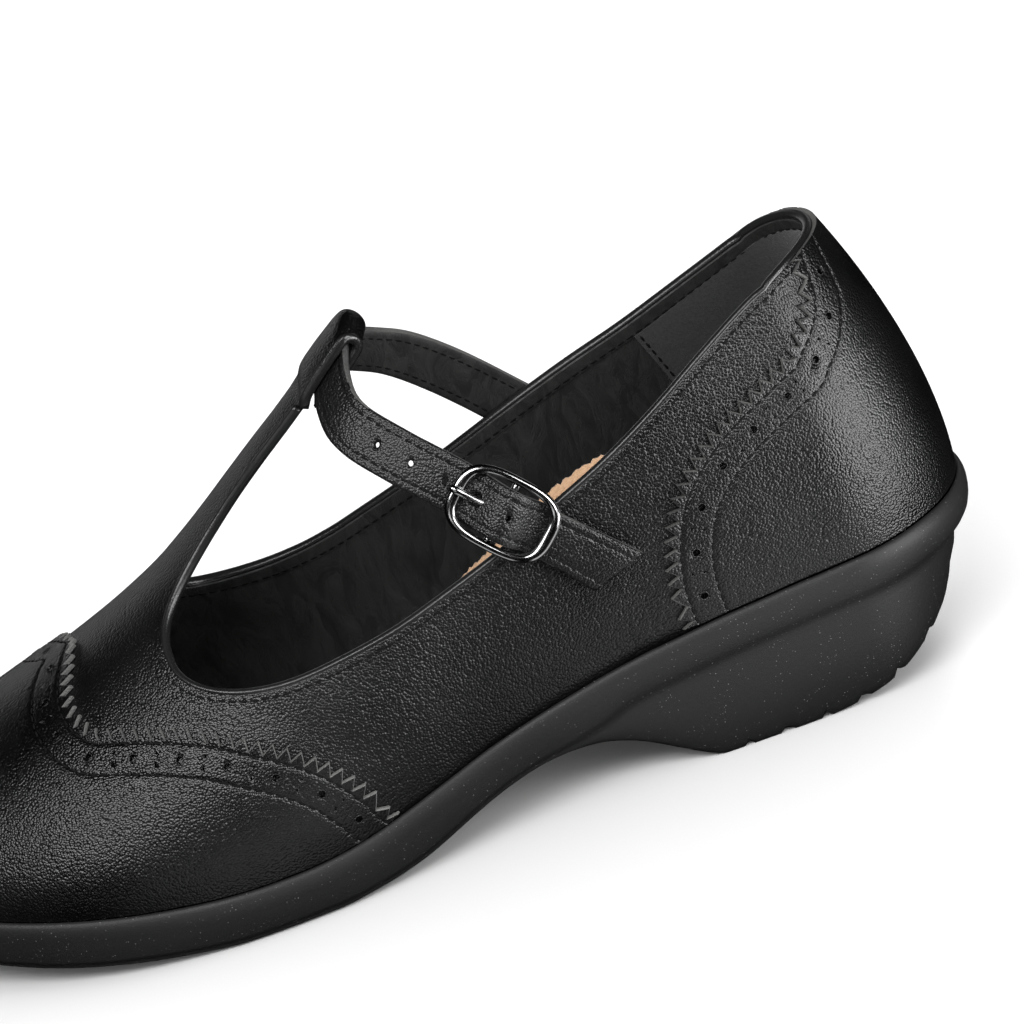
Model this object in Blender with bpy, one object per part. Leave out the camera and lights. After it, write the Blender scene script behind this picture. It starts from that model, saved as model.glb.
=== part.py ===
# Left T-bar mary jane: moulded wedge sole, hollow lasted upper, cupped insole, wing toe cap,
# heel counter, instep strap with its buckle, prong and tab.
# Sizes are in millimetres, MM turns them into metres. Stations run along the shoe from the back
# of the sole, y points to the wearer's left (the outer side), z is the height over the floor.
import math

import bmesh
import bpy
import numpy as np
from mathutils import Matrix, Vector

MM = 0.001

LENGTH = 254.0
HEEL_ROUND = 30.0
TOE_START = 188.0
TOE_RIDGE_END = 234.0
TOE_FULLNESS = 0.82
OUTER, INNER = 1, -1
SIDE_NAME = {OUTER: "outer", INNER: "inner"}

WALL = 2.0
GAP = 0.3
LEDGE = 2.6
TRAY_DEPTH = 2.0
OVERLAY = 1.2
CAP_GAP, COUNTER_GAP = 0.62, 0.45
OVERLAY_FOOT = 0.5
OVERLAY_CROWDING = 1.2
COUNTER_TOP_SHARE = 0.012
BAND_HEIGHT, BAND_FOOT = 9.0, 1.5
HEEL_BREAST, HEEL_BREAST_END = 80.0, 106.0
HEEL_BACK_POWER = 1.5

THROAT = 169.0
THROAT_BEGIN = 140.0
THROAT_HEIGHT = 57.8
THROAT_SPREAD = 21.2
THROAT_POWERS, BAR_POWERS = (2.6, 1 / 2.4), (2.2, 0.5)
VAMP_SPLIT = 0.68
BAR_HALF = 6.0
BAR_NECK = 128.0

STRAP_WIDTH = 11.2
STRAP_THICK = 2.2
STRAP_TIP_ROW = 6.0
HOLE_RADIUS, HOLE_DEEP = 0.9, 2.5
SLOT_RADIUS, SLOT_DEEP = 1.1, 4.0
STRAP_HUMP, HUMP_HALF = 4.25, 8.2
BUCKLE_ROW = 5.0
BUCKLE_HALF = 10.5
RING_HALF_WIDTH = 7.4
RING_SQUARE = 0.65
WIRE_WIDE, WIRE_HIGH = 1.15, 1.0
RING_END_WIDER = 0.35
RING_LIFT = 2.55
BAR_RADIUS, BAR_LIFT = 0.9, 1.0
PRONG_RADIUS, PRONG_CLEAR = 0.7, 0.25
TAB_WIDTH, TAB_THICK, TAB_CLEAR = 9.0, 0.8, 0.2
LOOP_ROWS = 1.2


def table(columns, rows):
    """Short table as one array for each named column; the first column is the one that others go by."""
    return dict(zip(columns.split(), np.array(rows, float).T))


# The outline of the sole: a row for each station, half breadths from the axis.
OUTLINE = table("station axis outer inner", [
    (0, 0.0, 30.0, 30.0), (30, 0.0, 30.5, 30.5), (60, 0.0, 32.0, 30.0), (90, 0.0, 33.5, 27.5),
    (110, -0.5, 36.0, 27.5), (130, -1.0, 40.5, 31.5), (150, -1.5, 45.0, 37.5), (165, -2.0, 47.0, 41.0),
    (180, -2.5, 47.5, 42.8), (200, -3.0, 46.0, 42.5), (225, -4.0, 41.5, 39.5), (254, -5.0, 34.0, 34.0)])

# Heights of the sole's lip and of its tread.
PROFILE = table("station lip tread", [
    (0, 34.8, 13.4), (6, 34.7, 11.2), (12, 34.6, 9.0), (18, 34.2, 6.8), (24, 33.8, 4.6), (30, 33.4, 2.6),
    (36, 32.9, 1.0), (42, 32.5, 0.2), (48, 32.0, 0.0), (60, 31.0, 0.0), (66, 30.3, 0.0),
    (70, 29.8, 1.8), (75, 29.2, 4.9), (80, 28.4, 8.0), (85, 27.5, 10.5), (90, 26.5, 12.1),
    (96, 25.2, 12.7), (102, 23.8, 12.3), (108, 22.3, 11.0), (114, 20.7, 9.2), (120, 18.9, 7.0),
    (126, 17.2, 4.7), (132, 15.5, 2.7), (138, 14.0, 1.4), (144, 12.9, 0.6), (150, 12.2, 0.0),
    (161, 11.8, 0.0), (172, 12.1, 0.0), (182, 13.0, 0.9), (192, 14.2, 2.1), (202, 15.5, 3.3),
    (212, 16.8, 4.6), (222, 18.2, 6.3), (238, 20.8, 9.5), (254, 23.5, 13.0)])

# The ridge of the foot form; behind the strap it is only the form that the quarters lean to.
RIDGE = table("station height offset", [
    (30, 118.0, 0.0), (60, 120.0, 0.0), (90, 117.0, 0.0), (112, 108.4, 0.0), (118, 104.3, 0.0),
    (124, 99.5, -0.2), (131.6, 93.3, -0.5), (138.7, 87.8, -0.7), (146, 82.0, -1.0), (153, 76.4, -1.3),
    (160, 71.1, -1.7), (167, 66.5, -2.0), (174, 62.6, -2.4), (180, 59.6, -2.8), (186, 56.9, -3.2),
    (193, 54.0, -3.6), (199, 51.7, -4.0), (205, 49.5, -4.3), (215, 46.1, -4.6), (225, 42.6, -5.0),
    (232, 39.6, -5.0), (240, 35.4, -5.0), (248, 29.0, -5.0)])

# Rows down the sole's wall. The lip's: inset from the outline and drop. The band's: insets at the sides and
# at the back, height over the tread in front, height over the band's foot at the heel. The block's: the
# same, with the height at the heel as a share of the block.
LIP_ROWS = [(2.8, 2.0), (1.5, 0.3), (1.1, 0.0), (0.4, 0.6), (0.0, 2.4), (0.1, 4.6)]
BAND_ROWS = [(0.7, 0.9, 3.0, 1.9), (1.6, 2.9, 1.75, 0.1), (2.1, 4.7, 1.1, -1.5)]
BLOCK_ROWS = [(2.2, 5.9, 0.7, 0.66), (2.4, 7.6, 0.5, 0.4), (3.1, 9.2, 0.2, 0.1), (4.2, 11.2, 0.0, 0.0)]

# Shape of the cross sections round the foot: place 0 to 1 is the heel's arc, 1 to 2 the sides,
# 2 to 3 the toe's arc. Flares are degrees, rise and crown are shares of the section.
SHAPE = table("place flare_outer flare_inner rise crown", [
    (0.0, 7.0, 7.0, 0.40, 0.23), (0.5, 7.0, 7.0, 0.40, 0.25), (1.0, 6.5, 6.5, 0.40, 0.40),
    (1.25, 6.0, 7.0, 0.39, 0.48), (1.5, 8.0, 10.0, 0.40, 0.52), (1.68, 11.0, 13.0, 0.41, 0.56),
    (1.85, 13.0, 14.0, 0.42, 0.58), (2.0, 14.0, 14.0, 0.42, 0.58), (2.3, 14.0, 14.0, 0.45, 0.55),
    (2.6, 12.0, 12.0, 0.50, 0.55), (3.0, 10.0, 10.0, 0.50, 0.55)])

# The topline on either side.
COLLAR = table("station outer inner", [
    (12, 96.9, 96.9), (17, 96.3, 96.3), (24, 94.8, 94.0), (32, 91.6, 90.2), (46, 84.4, 84.0),
    (59, 77.0, 78.7), (72, 70.4, 74.6), (85, 65.0, 70.1), (97, 60.0, 65.4), (109, 56.1, 60.6),
    (121, 52.8, 56.0), (133, 50.8, 51.5), (144, 49.6, 49.2), (155, 49.2, 48.4), (170, 49.4, 48.2)])

# How high the insole's edge stands over the sole's tray.
INSOLE = table("station outer inner", [
    (0, 9.0, 9.0), (30, 8.5, 10.0), (50, 8.0, 17.0), (62, 7.5, 21.5), (72, 7.0, 22.5), (85, 6.5, 20.5),
    (97, 6.0, 16.6), (112, 5.5, 11.2), (126, 5.0, 6.6), (140, 4.8, 5.2), (160, 4.6, 4.8), (254, 4.4, 4.4)])
INSOLE_MIDDLE = 4.0
INSOLE_FOOT = 8.0
# Rings up the insole's edge: share of its height, distance inside the upper's face, lift. Rings of its
# bed: distance inside the sole's outline and what is left of the cup.
INSOLE_EDGE_ROWS = [(0.35, 2.5, 0.6), (0.7, 2.5, 0.4), (1.0, 2.5, 0.0), (1.0, 3.9, 0.2)]
INSOLE_BED_ROWS = [(10.6, 0.45), (16.6, 0.08)]

# Leading edges of the overlays: height share from the sole to the ridge or collar, then the station.
CAP_EDGE = table("share station", [
    (0.0, 132.5), (0.12, 138.5), (0.24, 146.5), (0.36, 157.5), (0.48, 170.0), (0.60, 185.0),
    (0.70, 191.5), (0.80, 192.2), (0.90, 189.6), (1.0, 184.2)])
COUNTER_EDGE = table("share station", [
    (0.0, 66.0), (0.12, 66.3), (0.30, 66.0), (0.50, 63.9), (0.63, 59.8), (0.70, 53.0), (0.73, 47.5),
    (0.755, 36.0), (0.775, 31.0), (0.79, 26.0), (0.83, 20.4), (0.89, 16.6), (1.0, 13.3)])
CAP_ROWS = (0.0, 0.11, 0.22, 0.33, 0.44, 0.55, 0.66, 0.78, 0.89, 1.0)
COUNTER_ROWS = (0.0, 0.15, 0.30, 0.45, 0.58, 0.67, 0.73, 0.765, 0.79, 0.84, 0.91, 1.0)

# The strap's two edges on the foot form, from its end on the inner side to its tip: place round the
# foot, signed share down from the ridge, and how far the strap's middle stands off the form.
STRAP = table("row front_place front_share rear_place rear_share stand_off", [
    (-7, 1.305, -0.805, 1.260, -0.760, 1.8), (-6, 1.345, -0.732, 1.300, -0.685, 1.8),
    (-5, 1.398, -0.637, 1.352, -0.586, 1.8), (-4, 1.458, -0.521, 1.405, -0.475, 1.2),
    (-3, 1.503, -0.431, 1.448, -0.380, 0.8), (-2, 1.548, -0.333, 1.490, -0.290, 0.3),
    (-1, 1.583, -0.200, 1.523, -0.180, -1.3), (0, 1.590, 0.0, 1.533, 0.0, -2.3),
    (1, 1.600, 0.200, 1.540, 0.180, -1.3), (2, 1.578, 0.336, 1.533, 0.293, 0.5),
    (3, 1.533, 0.466, 1.486, 0.420, 1.4), (4, 1.473, 0.591, 1.423, 0.538, 2.2),
    (5, 1.433, 0.662, 1.383, 0.608, 2.6), (6, 1.383, 0.732, 1.338, 0.684, 2.8),
    (7, 1.328, 0.827, 1.253, 0.805, 2.6)])
STRAP_HOLES = (-29.0, -21.2, -13.4, 0.6)
PRONG_SLOT = (-7.2, -2.3)

# The loop at the end of the T-bar, along and off the strap that it goes round.
LOOP = [(-9.2, 2.2), (-6.6, 3.2), (-2.0, 3.5), (2.0, 3.5), (5.8, 3.4), (7.8, 2.9), (8.9, 1.7), (9.3, 0.0),
        (8.9, -1.7), (7.8, -2.9), (5.8, -3.4), (0.0, -3.45), (-5.6, -3.4), (-8.0, -3.3)]

# The prong and the tab's two ends, along the buckle and off its plane.
PRONG = [(-11.9, 4.2), (-10.5, 4.6), (-7.5, 3.7), (-4.6, 2.5), (-2.7, 1.55)]
PRONG_HOOK = (185, 215, 245, 275, 305, 335)
TAB_ROOT = (14.5, 12.2, 10.0, 8.2)
TAB_TURN = (270, 235, 205, 180, 150, 120, 90)
TAB_TAIL = [(1.2, -0.15), (2.2, -0.7)]
TAB_SLOT = ((-4.0, 2.9), (-1.3, 1.3), (-4.0, 5.0))


def smooth(rows, column, at):
    """Cubic curve through one column of a table."""
    at = np.asarray(at, float)
    x = next(iter(rows.values()))
    v = rows[column]
    d = np.gradient(v, x)
    i = np.clip(np.searchsorted(x, at) - 1, 0, len(x) - 2)
    h = x[i + 1] - x[i]
    t = np.clip((at - x[i]) / h, 0.0, 1.0)
    rise = v[i] * (1 + 2 * t) * (1 - t) ** 2 + v[i + 1] * t * t * (3 - 2 * t)
    return rise + h * t * (1 - t) * (d[i] * (1 - t) - d[i + 1] * t)


def outline(side, place):
    """Point of the sole's outline."""
    place = np.asarray(place, float)
    heel = np.clip(place, 0, 1) * math.pi / 2
    toe = np.clip(place - 2, 0, 1) * math.pi / 2
    straight = HEEL_ROUND + (TOE_START - HEEL_ROUND) * (place - 1)
    s = np.where(place < 1, HEEL_ROUND * (1 - np.cos(heel)),
                 np.where(place < 2, straight, TOE_START + (LENGTH - TOE_START) * np.sin(toe)))
    half = smooth(OUTLINE, SIDE_NAME[side], s)
    rounding = np.where(place < 1, np.sin(heel), np.where(place < 2, 1.0, np.cos(toe) ** TOE_FULLNESS))
    rounding = np.where(place >= 3, 0.0, rounding)
    return s, smooth(OUTLINE, "axis", s) + side * half * rounding


def outline_in(side, place, inset):
    """The outline moved inwards by inset."""
    place = np.asarray(place, float)
    step = 1e-3
    s, y = outline(side, place)
    s0, y0 = outline(side, np.clip(place - step, 0, 3))
    s1, y1 = outline(side, np.clip(place + step, 0, 3))
    run = np.hypot(s1 - s0, y1 - y0)
    out_s = np.where(place <= 0, -1.0, np.where(place >= 3, 1.0, -side * (y1 - y0) / run))
    out_y = np.where((place <= 0) | (place >= 3), 0.0, side * (s1 - s0) / run)
    return s - inset * out_s, y - inset * out_y


def place_of(station):
    """Place on the sides or the toe for a station."""
    station = np.asarray(station, float)
    toe = np.arcsin(np.clip((station - TOE_START) / (LENGTH - TOE_START), 0, 1)) / (math.pi / 2)
    return np.where(station < TOE_START, 1 + (station - HEEL_ROUND) / (TOE_START - HEEL_ROUND), 2 + toe)


def lip(s):
    return smooth(PROFILE, "lip", s)


def tread(s):
    return np.maximum(smooth(PROFILE, "tread", s), 0.0)


def ridge_height(s):
    return smooth(RIDGE, "height", s)


def ridge_offset(s):
    return smooth(RIDGE, "offset", s)


def ridge_station(place):
    """Station of the ridge point that a section leads up to."""
    s, _ = outline(OUTER, place)
    spread = (TOE_RIDGE_END - TOE_START) / (LENGTH - TOE_START)
    return np.where(place < 1, HEEL_ROUND, np.where(place < 2, s, TOE_START + spread * (s - TOE_START)))


def section(side, place, share):
    """Point of the upper's outer face, from the sole (share 0) to the ridge (share 1)."""
    place = np.asarray(place, float)
    share = np.asarray(share, float)
    foot_s, foot_y = outline_in(side, place, LEDGE + GAP)
    rim_s, _ = outline(side, place)
    foot_z = lip(rim_s) - TRAY_DEPTH + GAP
    top_s = ridge_station(place)
    top_y, top_z = ridge_offset(top_s), ridge_height(top_s)
    slope = np.where(place < 1, 0.0, ridge_height(top_s + 0.5) - ridge_height(top_s - 0.5))
    ds, dy = foot_s - top_s, foot_y - top_y
    reach = np.hypot(ds, dy)
    high = top_z - foot_z
    flare = np.tan(np.radians(smooth(SHAPE, "flare_" + SIDE_NAME[side], place)))
    rise, crown = smooth(SHAPE, "rise", place), smooth(SHAPE, "crown", place)
    out = high * rise * flare / reach
    b0, b1 = (1 - share) ** 3, 3 * share * (1 - share) ** 2
    b2, b3 = 3 * share * share * (1 - share), share ** 3
    px = b0 * foot_s + b1 * (foot_s + ds * out) + b2 * (top_s + ds * crown) + b3 * top_s
    py = b0 * foot_y + b1 * (foot_y + dy * out) + b2 * (top_y + dy * crown) + b3 * top_y
    pz = b0 * foot_z + b1 * (foot_z + high * rise) + b2 * (top_z + slope * ds * crown) + b3 * top_z
    return np.stack(np.broadcast_arrays(px, py, pz), -1)


def outward(side, place, share):
    """Outward normal of the upper's face."""
    place, share = np.broadcast_arrays(np.asarray(place, float), np.asarray(share, float))
    step = 2e-3
    before, after = np.clip(place - step, 0, 3), np.clip(place + step, 0, 3)
    under, over = np.clip(share - step, 0, 1), np.clip(share + step, 0, 1)
    along = section(side, after, share) - section(side, before, share)
    up = section(side, place, over) - section(side, place, under)
    normal = -side * np.cross(along, up)
    ends = np.where(place <= 0, -1.0, 1.0)
    upright = np.stack([ends * up[..., 2], np.zeros_like(place), -ends * up[..., 0]], -1)
    normal = np.where(((place <= 0) | (place >= 3))[..., None], upright, normal)
    top_s = ridge_station(place)
    slope = np.where(place < 1, 0.0, ridge_height(top_s + 0.5) - ridge_height(top_s - 0.5))
    crest = np.stack([-slope, np.zeros_like(slope), np.ones_like(slope)], -1)
    normal = np.where((share >= 1)[..., None], crest, normal)
    return normal / np.linalg.norm(normal, axis=-1, keepdims=True)


def off_section(side, place, share, distance):
    return section(side, place, share) + np.asarray(distance, float)[..., None] * outward(side, place, share)


def find_share(side, place, above):
    """Share at which a section passes from below to above."""
    low, high = np.zeros_like(place), np.ones_like(place)
    for _ in range(40):
        middle = (low + high) / 2
        passed = above(section(side, place, middle))
        high = np.where(passed, middle, high)
        low = np.where(passed, low, middle)
    return (low + high) / 2


def throat_part(s):
    return np.clip((s - THROAT_BEGIN) / (THROAT - THROAT_BEGIN), 0, 1)


def collar_share(side, place):
    """Where the topline cuts each section."""
    own = np.clip(place / 0.5, 0, 1)

    def above(p):
        both = (smooth(COLLAR, "outer", p[..., 0]) + smooth(COLLAR, "inner", p[..., 0])) / 2
        low = both + (smooth(COLLAR, SIDE_NAME[side], p[..., 0]) - both) * own
        round_front = (1 - throat_part(p[..., 0]) ** THROAT_POWERS[0]) ** THROAT_POWERS[1]
        return p[..., 2] > THROAT_HEIGHT - (THROAT_HEIGHT - low) * round_front
    return find_share(side, place, above)


def bar_share(side, place):
    """Where the edge of the T-bar cuts each section."""
    def above(p):
        round_front = 1 - (1 - throat_part(p[..., 0]) ** BAR_POWERS[0]) ** BAR_POWERS[1]
        half = BAR_HALF + (THROAT_SPREAD - BAR_HALF) * round_front
        return np.abs(p[..., 1] - ridge_offset(p[..., 0])) < half
    return find_share(side, place, above)


def strap_edges(row):
    """Middle between the strap's two edges on the foot form and the way from its front to its rear edge."""
    row = np.asarray(row, float)

    def edge(name):
        share = smooth(STRAP, name + "_share", row)
        place = smooth(STRAP, name + "_place", row)
        return np.where((share >= 0)[..., None], section(OUTER, place, 1 - np.abs(share)),
                        section(INNER, place, 1 - np.abs(share)))
    front, rear = edge("front"), edge("rear")
    return (front + rear) / 2, rear - front


def strap_at(row):
    """Middle, front-to-rear direction, travel direction and normal of the strap at rows of its table."""
    middle, across = strap_edges(row)
    ahead, _ = strap_edges(np.asarray(row, float) + 0.02)
    behind, _ = strap_edges(np.asarray(row, float) - 0.02)
    across = across / np.linalg.norm(across, axis=-1, keepdims=True)
    travel = ahead - behind
    travel = travel / np.linalg.norm(travel, axis=-1, keepdims=True)
    normal = np.cross(travel, across)
    normal = normal / np.linalg.norm(normal, axis=-1, keepdims=True)
    normal = np.where((normal[..., 2] < 0)[..., None], -normal, normal)
    middle = middle + smooth(STRAP, "stand_off", row)[..., None] * normal
    return middle, across, travel, normal


def clear_scene():
    for item in list(bpy.data.objects):
        bpy.data.objects.remove(item, do_unlink=True)


def make_material(name, colour, roughness, metallic=0.0):
    material = bpy.data.materials.new(name)
    material.use_nodes = True
    shader = material.node_tree.nodes["Principled BSDF"]
    shader.inputs["Base Color"].default_value = (*colour, 1.0)
    shader.inputs["Roughness"].default_value = roughness
    shader.inputs["Metallic"].default_value = metallic
    return material


def make_object(name, points, faces, material, outward_faces=True):
    """Mesh object from points in millimetres; coincident points become one."""
    mesh = bpy.data.meshes.new(name)
    mesh.from_pydata([tuple(p * MM) for p in np.asarray(points)], [], faces)
    body = bmesh.new()
    body.from_mesh(mesh)
    bmesh.ops.remove_doubles(body, verts=body.verts, dist=0.002 * MM)
    bmesh.ops.dissolve_degenerate(body, edges=body.edges, dist=0.002 * MM)
    if outward_faces:
        bmesh.ops.recalc_face_normals(body, faces=body.faces)
    body.to_mesh(mesh)
    body.free()
    for face in mesh.polygons:
        face.use_smooth = True
    item = bpy.data.objects.new(name, mesh)
    bpy.context.scene.collection.objects.link(item)
    mesh.materials.append(material)
    return item


def thicken(item, thickness, offset):
    wall = item.modifiers.new("wall", "SOLIDIFY")
    wall.thickness = thickness * MM
    wall.offset = offset
    wall.use_even_offset = True
    wall.use_quality_normals = True
    return wall


def cut_with(item, cutter, operation):
    cut = item.modifiers.new("cut_" + cutter.name, "BOOLEAN")
    cut.operation = operation
    cut.solver = "EXACT"
    cut.object = cutter
    cutter.hide_render = True
    cutter.display_type = "WIRE"


def ring_solid(name, rings, material):
    """Closed body from rings of points; the first and the last ring are closed by a ladder of faces."""
    count = len(rings[0])
    half = count // 2
    points = np.concatenate(rings)
    faces = []
    for r in range(len(rings) - 1):
        for i in range(count):
            j = (i + 1) % count
            faces.append((r * count + i, r * count + j, (r + 1) * count + j, (r + 1) * count + i))
    for base in (0, (len(rings) - 1) * count):
        for i in range(half):
            a, b = base + i, base + i + 1
            c, d = base + (count - i - 1) % count, base + (count - i) % count
            quad = [a, b, c, d]
            faces.append(tuple(dict.fromkeys(quad)))
    return make_object(name, points, faces, material)


def loop_places(places):
    """Both sides of the foot as one closed loop of (side, place)."""
    loop = [(OUTER, p) for p in places] + [(INNER, p) for p in places[-2:0:-1]]
    sides = np.array([s for s, _ in loop])
    return sides, np.array([p for _, p in loop])


def both_sides(sides, places, function):
    """Evaluate a function of (side, places) round a closed loop."""
    points = np.zeros((len(places), 3))
    for side in (OUTER, INNER):
        chosen = sides == side
        points[chosen] = function(side, places[chosen])
    return points


def sweep_strip(name, middle, across, normal, half_width, half_thick, material, columns=3):
    """Flat strip along a path, as a closed body."""
    shares = np.linspace(-1, 1, columns + 1)
    rings = []
    for m, a, n, w in zip(middle, across, normal, half_width):
        top = [m + a * w * c + n * half_thick for c in shares]
        bottom = [m + a * w * c - n * half_thick for c in shares[::-1]]
        rings.append(np.array(top + bottom))
    return tube_solid(name, rings, material)


def tube_solid(name, rings, material, closed=False):
    count = len(rings[0])
    points = np.concatenate(rings)
    faces = []
    last = len(rings) if closed else len(rings) - 1
    for r in range(last):
        following = (r + 1) % len(rings)
        for i in range(count):
            j = (i + 1) % count
            faces.append((r * count + i, r * count + j, following * count + j, following * count + i))
    if not closed:
        faces.append(tuple(range(count)))
        faces.append(tuple(range((len(rings) - 1) * count, len(rings) * count)))
    return make_object(name, points, faces, material)


def round_tube(name, path, radius, material, sides=8):
    """Round wire along a path."""
    path = np.asarray(path, float)
    travel = np.gradient(path, axis=0)
    travel /= np.linalg.norm(travel, axis=1, keepdims=True)
    plane = np.cross(path[1] - path[0], path[-1] - path[0])
    plane /= np.linalg.norm(plane)
    rings = []
    for p, t in zip(path, travel):
        second = np.cross(t, plane)
        angles = np.arange(sides) * 2 * math.pi / sides
        rings.append(np.array([p + radius * (math.cos(a) * plane + math.sin(a) * second) for a in angles]))
    return tube_solid(name, rings, material)


def build_sole(material):
    """Rings from the tray over the lip and down the band and the heel to the tread."""
    heel = np.linspace(0, 1, 9)[:-1]
    sides = place_of(np.array([30, 36, 42, 48, 57, 66, 70, 75, 80, 85, 91, 97, 104, 111, 118, 125, 132, 139,
                               146, 151, 161, 171, 179, 187.9], float))
    toe = 2 + np.linspace(0, 1, 11)
    loop_sides, places = loop_places(np.concatenate([heel, sides, toe]))

    def ring(inset_side, inset_back, height):
        def point(side, place):
            back = np.cos(np.clip(place, 0, 1) * math.pi / 2) ** HEEL_BACK_POWER
            s, y = outline_in(side, place, inset_side + (inset_back - inset_side) * back)
            s_rim, _ = outline(side, place)
            return np.stack([s, y, height(s_rim)], -1)
        return both_sides(loop_sides, places, point)

    def heel_part(s):
        """1 under the heel's block, 0 where band and tread are one."""
        share = np.clip((HEEL_BREAST_END - s) / (HEEL_BREAST_END - HEEL_BREAST), 0, 1)
        return share ** 2 * (3 - 2 * share)

    def blend(fore, at_heel):
        return lambda s: (tread(s) + fore) * (1 - heel_part(s)) + at_heel(s) * heel_part(s)

    def block_height(s):
        return lip(s) - BAND_HEIGHT - BAND_FOOT - tread(s)

    rings = [ring(inset, inset, lambda s, d=drop: lip(s) - d) for inset, drop in LIP_ROWS]
    rings += [ring(inset, back, blend(fore, lambda s, o=over: lip(s) - BAND_HEIGHT + o))
              for inset, back, fore, over in BAND_ROWS]
    rings += [ring(inset, back, blend(fore, lambda s, q=share: tread(s) + q * block_height(s)))
              for inset, back, fore, share in BLOCK_ROWS]
    return ring_solid("sole", rings, material)


def upper_places():
    heel = np.linspace(0, 1, 9)[:-1]
    quarter = np.array([30, 38, 47, 57, 67, 77, 87, 97, 107, 117, BAR_NECK], float)
    left = np.array([0.86, 0.72, 0.58, 0.44, 0.31, 0.2, 0.11, 0.05, 0.015, 0.0])
    window = THROAT - (THROAT - BAR_NECK) * left
    vamp = np.array([174, 181, 187.9], float)
    toe = 2 + np.linspace(0, 1, 11)
    places = np.concatenate([heel, place_of(quarter), place_of(window), place_of(vamp), toe])
    neck = len(heel) + len(quarter) - 1
    return places, neck, neck + len(window)


def build_upper(material):
    """One sheet: quarters and vamp from the sole up, T-bar along the ridge, folded end round the strap."""
    low_rows, high_rows = 7, 4
    places, neck, throat = upper_places()
    points, faces = [], []

    def add(p):
        points.append(p)
        return len(points) - 1

    bar_ends = {}
    for side in (OUTER, INNER):
        low_top = collar_share(side, places)
        high_start = bar_share(side, places)
        meet = (low_top[throat] + high_start[throat]) / 2
        split = np.linspace(meet, VAMP_SPLIT, len(places) - throat)
        low_top[throat:] = split
        high_start[throat:] = split
        low, high = [], []
        for k, place in enumerate(places):
            shares = np.linspace(0, low_top[k], low_rows + 1)
            low.append([add(p) for p in section(side, np.full_like(shares, place), shares)])
            if k < neck:
                high.append(None)
                continue
            shares = np.linspace(high_start[k], 1, high_rows + 1)
            high.append([add(p) for p in section(side, np.full_like(shares, place), shares)])
            if k >= throat:
                high[k][0] = low[k][-1]
        bar_ends[side] = high[neck]
        for k in range(len(places) - 1):
            for grid in (low, high):
                if grid[k] is None:
                    continue
                for j in range(len(grid[k]) - 1):
                    quad = (grid[k][j], grid[k + 1][j], grid[k + 1][j + 1], grid[k][j + 1])
                    faces.append(quad[::-1] if side == OUTER else quad)
    last = bar_ends[OUTER] + bar_ends[INNER][-2::-1]
    rows = np.linspace(-LOOP_ROWS, LOOP_ROWS, 121)
    middle, across, _, normal = strap_at(rows)
    for along, off in LOOP:
        fresh = []
        for y in np.linspace(BAR_HALF, -BAR_HALF, len(last)):
            m, a, n = (np.array([np.interp(y, middle[:, 1], v[:, c]) for c in range(3)])
                       for v in (middle, across, normal))
            fresh.append(add(m + along * a + off * n))
        for j in range(len(last) - 1):
            faces.append((fresh[j], fresh[j + 1], last[j + 1], last[j]))
        last = fresh
    item = make_object("upper", points, faces, material, outward_faces=False)
    thicken(item, WALL, -1.0)
    return item


def build_insole(material):
    """Cupped footbed inside the upper's wall."""
    heel = np.linspace(0, 1, 8)[:-1]
    sides = place_of(np.array([30, 40, 50, 60, 70, 80, 90, 100, 112, 124, 136, 148, 160, 172, 187.9], float))
    toe = 2 + np.linspace(0, 1, 8)
    loop_sides, places = loop_places(np.concatenate([heel, sides, toe]))

    def floor_at(side, place):
        s, _ = outline(side, place)
        return lip(s) - TRAY_DEPTH + GAP

    def wall_point(side, place, height, inside):
        goal = floor_at(side, place) + height
        share = find_share(side, place, lambda p: p[..., 2] > goal)
        p = off_section(side, place, share, np.full_like(place, -inside))
        p[..., 2] = goal
        return p

    def edge_height(side, place):
        s, _ = outline(side, place)
        return smooth(INSOLE, SIDE_NAME[side], s)

    def ring(share, inside, lift):
        def point(side, place):
            return wall_point(side, place, edge_height(side, place) * share + lift, inside)
        return both_sides(loop_sides, places, point)

    def bed(inset, cup):
        """Ring on the footbed's top: the cup flattens out towards the middle."""
        def point(side, place):
            s, y = outline_in(side, place, inset)
            rise = edge_height(side, place) - INSOLE_MIDDLE
            return np.stack([s, y, floor_at(side, place) + INSOLE_MIDDLE + rise * cup], -1)
        return both_sides(loop_sides, places, point)

    rings = [both_sides(loop_sides, places, lambda side, place: np.stack(
        [*outline_in(side, place, INSOLE_FOOT), floor_at(side, place) + GAP], -1))]
    rings += [ring(*row) for row in INSOLE_EDGE_ROWS]
    rings += [bed(*row) for row in INSOLE_BED_ROWS]
    return ring_solid("insole", rings, material)


def overlay_sheet(name, edge, rows, end, top_share, gap, material, columns):
    """Overlay that stands proud of the upper, from its leading edge to the place where it ends."""
    to_toe = end > 1
    points, faces = [], []
    for side in (OUTER, INNER):
        grid = []
        for row in rows:
            start = float(edge_place_of(smooth(edge, "station", row)))
            places = start + (end - start) * np.linspace(0, 1, columns + 1) ** OVERLAY_CROWDING
            foot = find_share(side, places, over_lip)
            shares = foot + (top_share(side, places) - foot) * row
            ridge_side = OUTER if to_toe and row == 1 else side
            grid.append(off_section(ridge_side, places, shares, np.full_like(places, gap)))
        base = len(points)
        points.extend(p for line in grid for p in line)
        width = columns + 1
        for j in range(len(rows) - 1):
            for i in range(columns):
                quad = (base + j * width + i, base + j * width + i + 1,
                        base + (j + 1) * width + i + 1, base + (j + 1) * width + i)
                faces.append(quad[::-1] if (side == OUTER) == to_toe else quad)
    item = make_object(name, points, faces, material, outward_faces=False)
    thicken(item, OVERLAY, 1.0)
    return item


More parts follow.
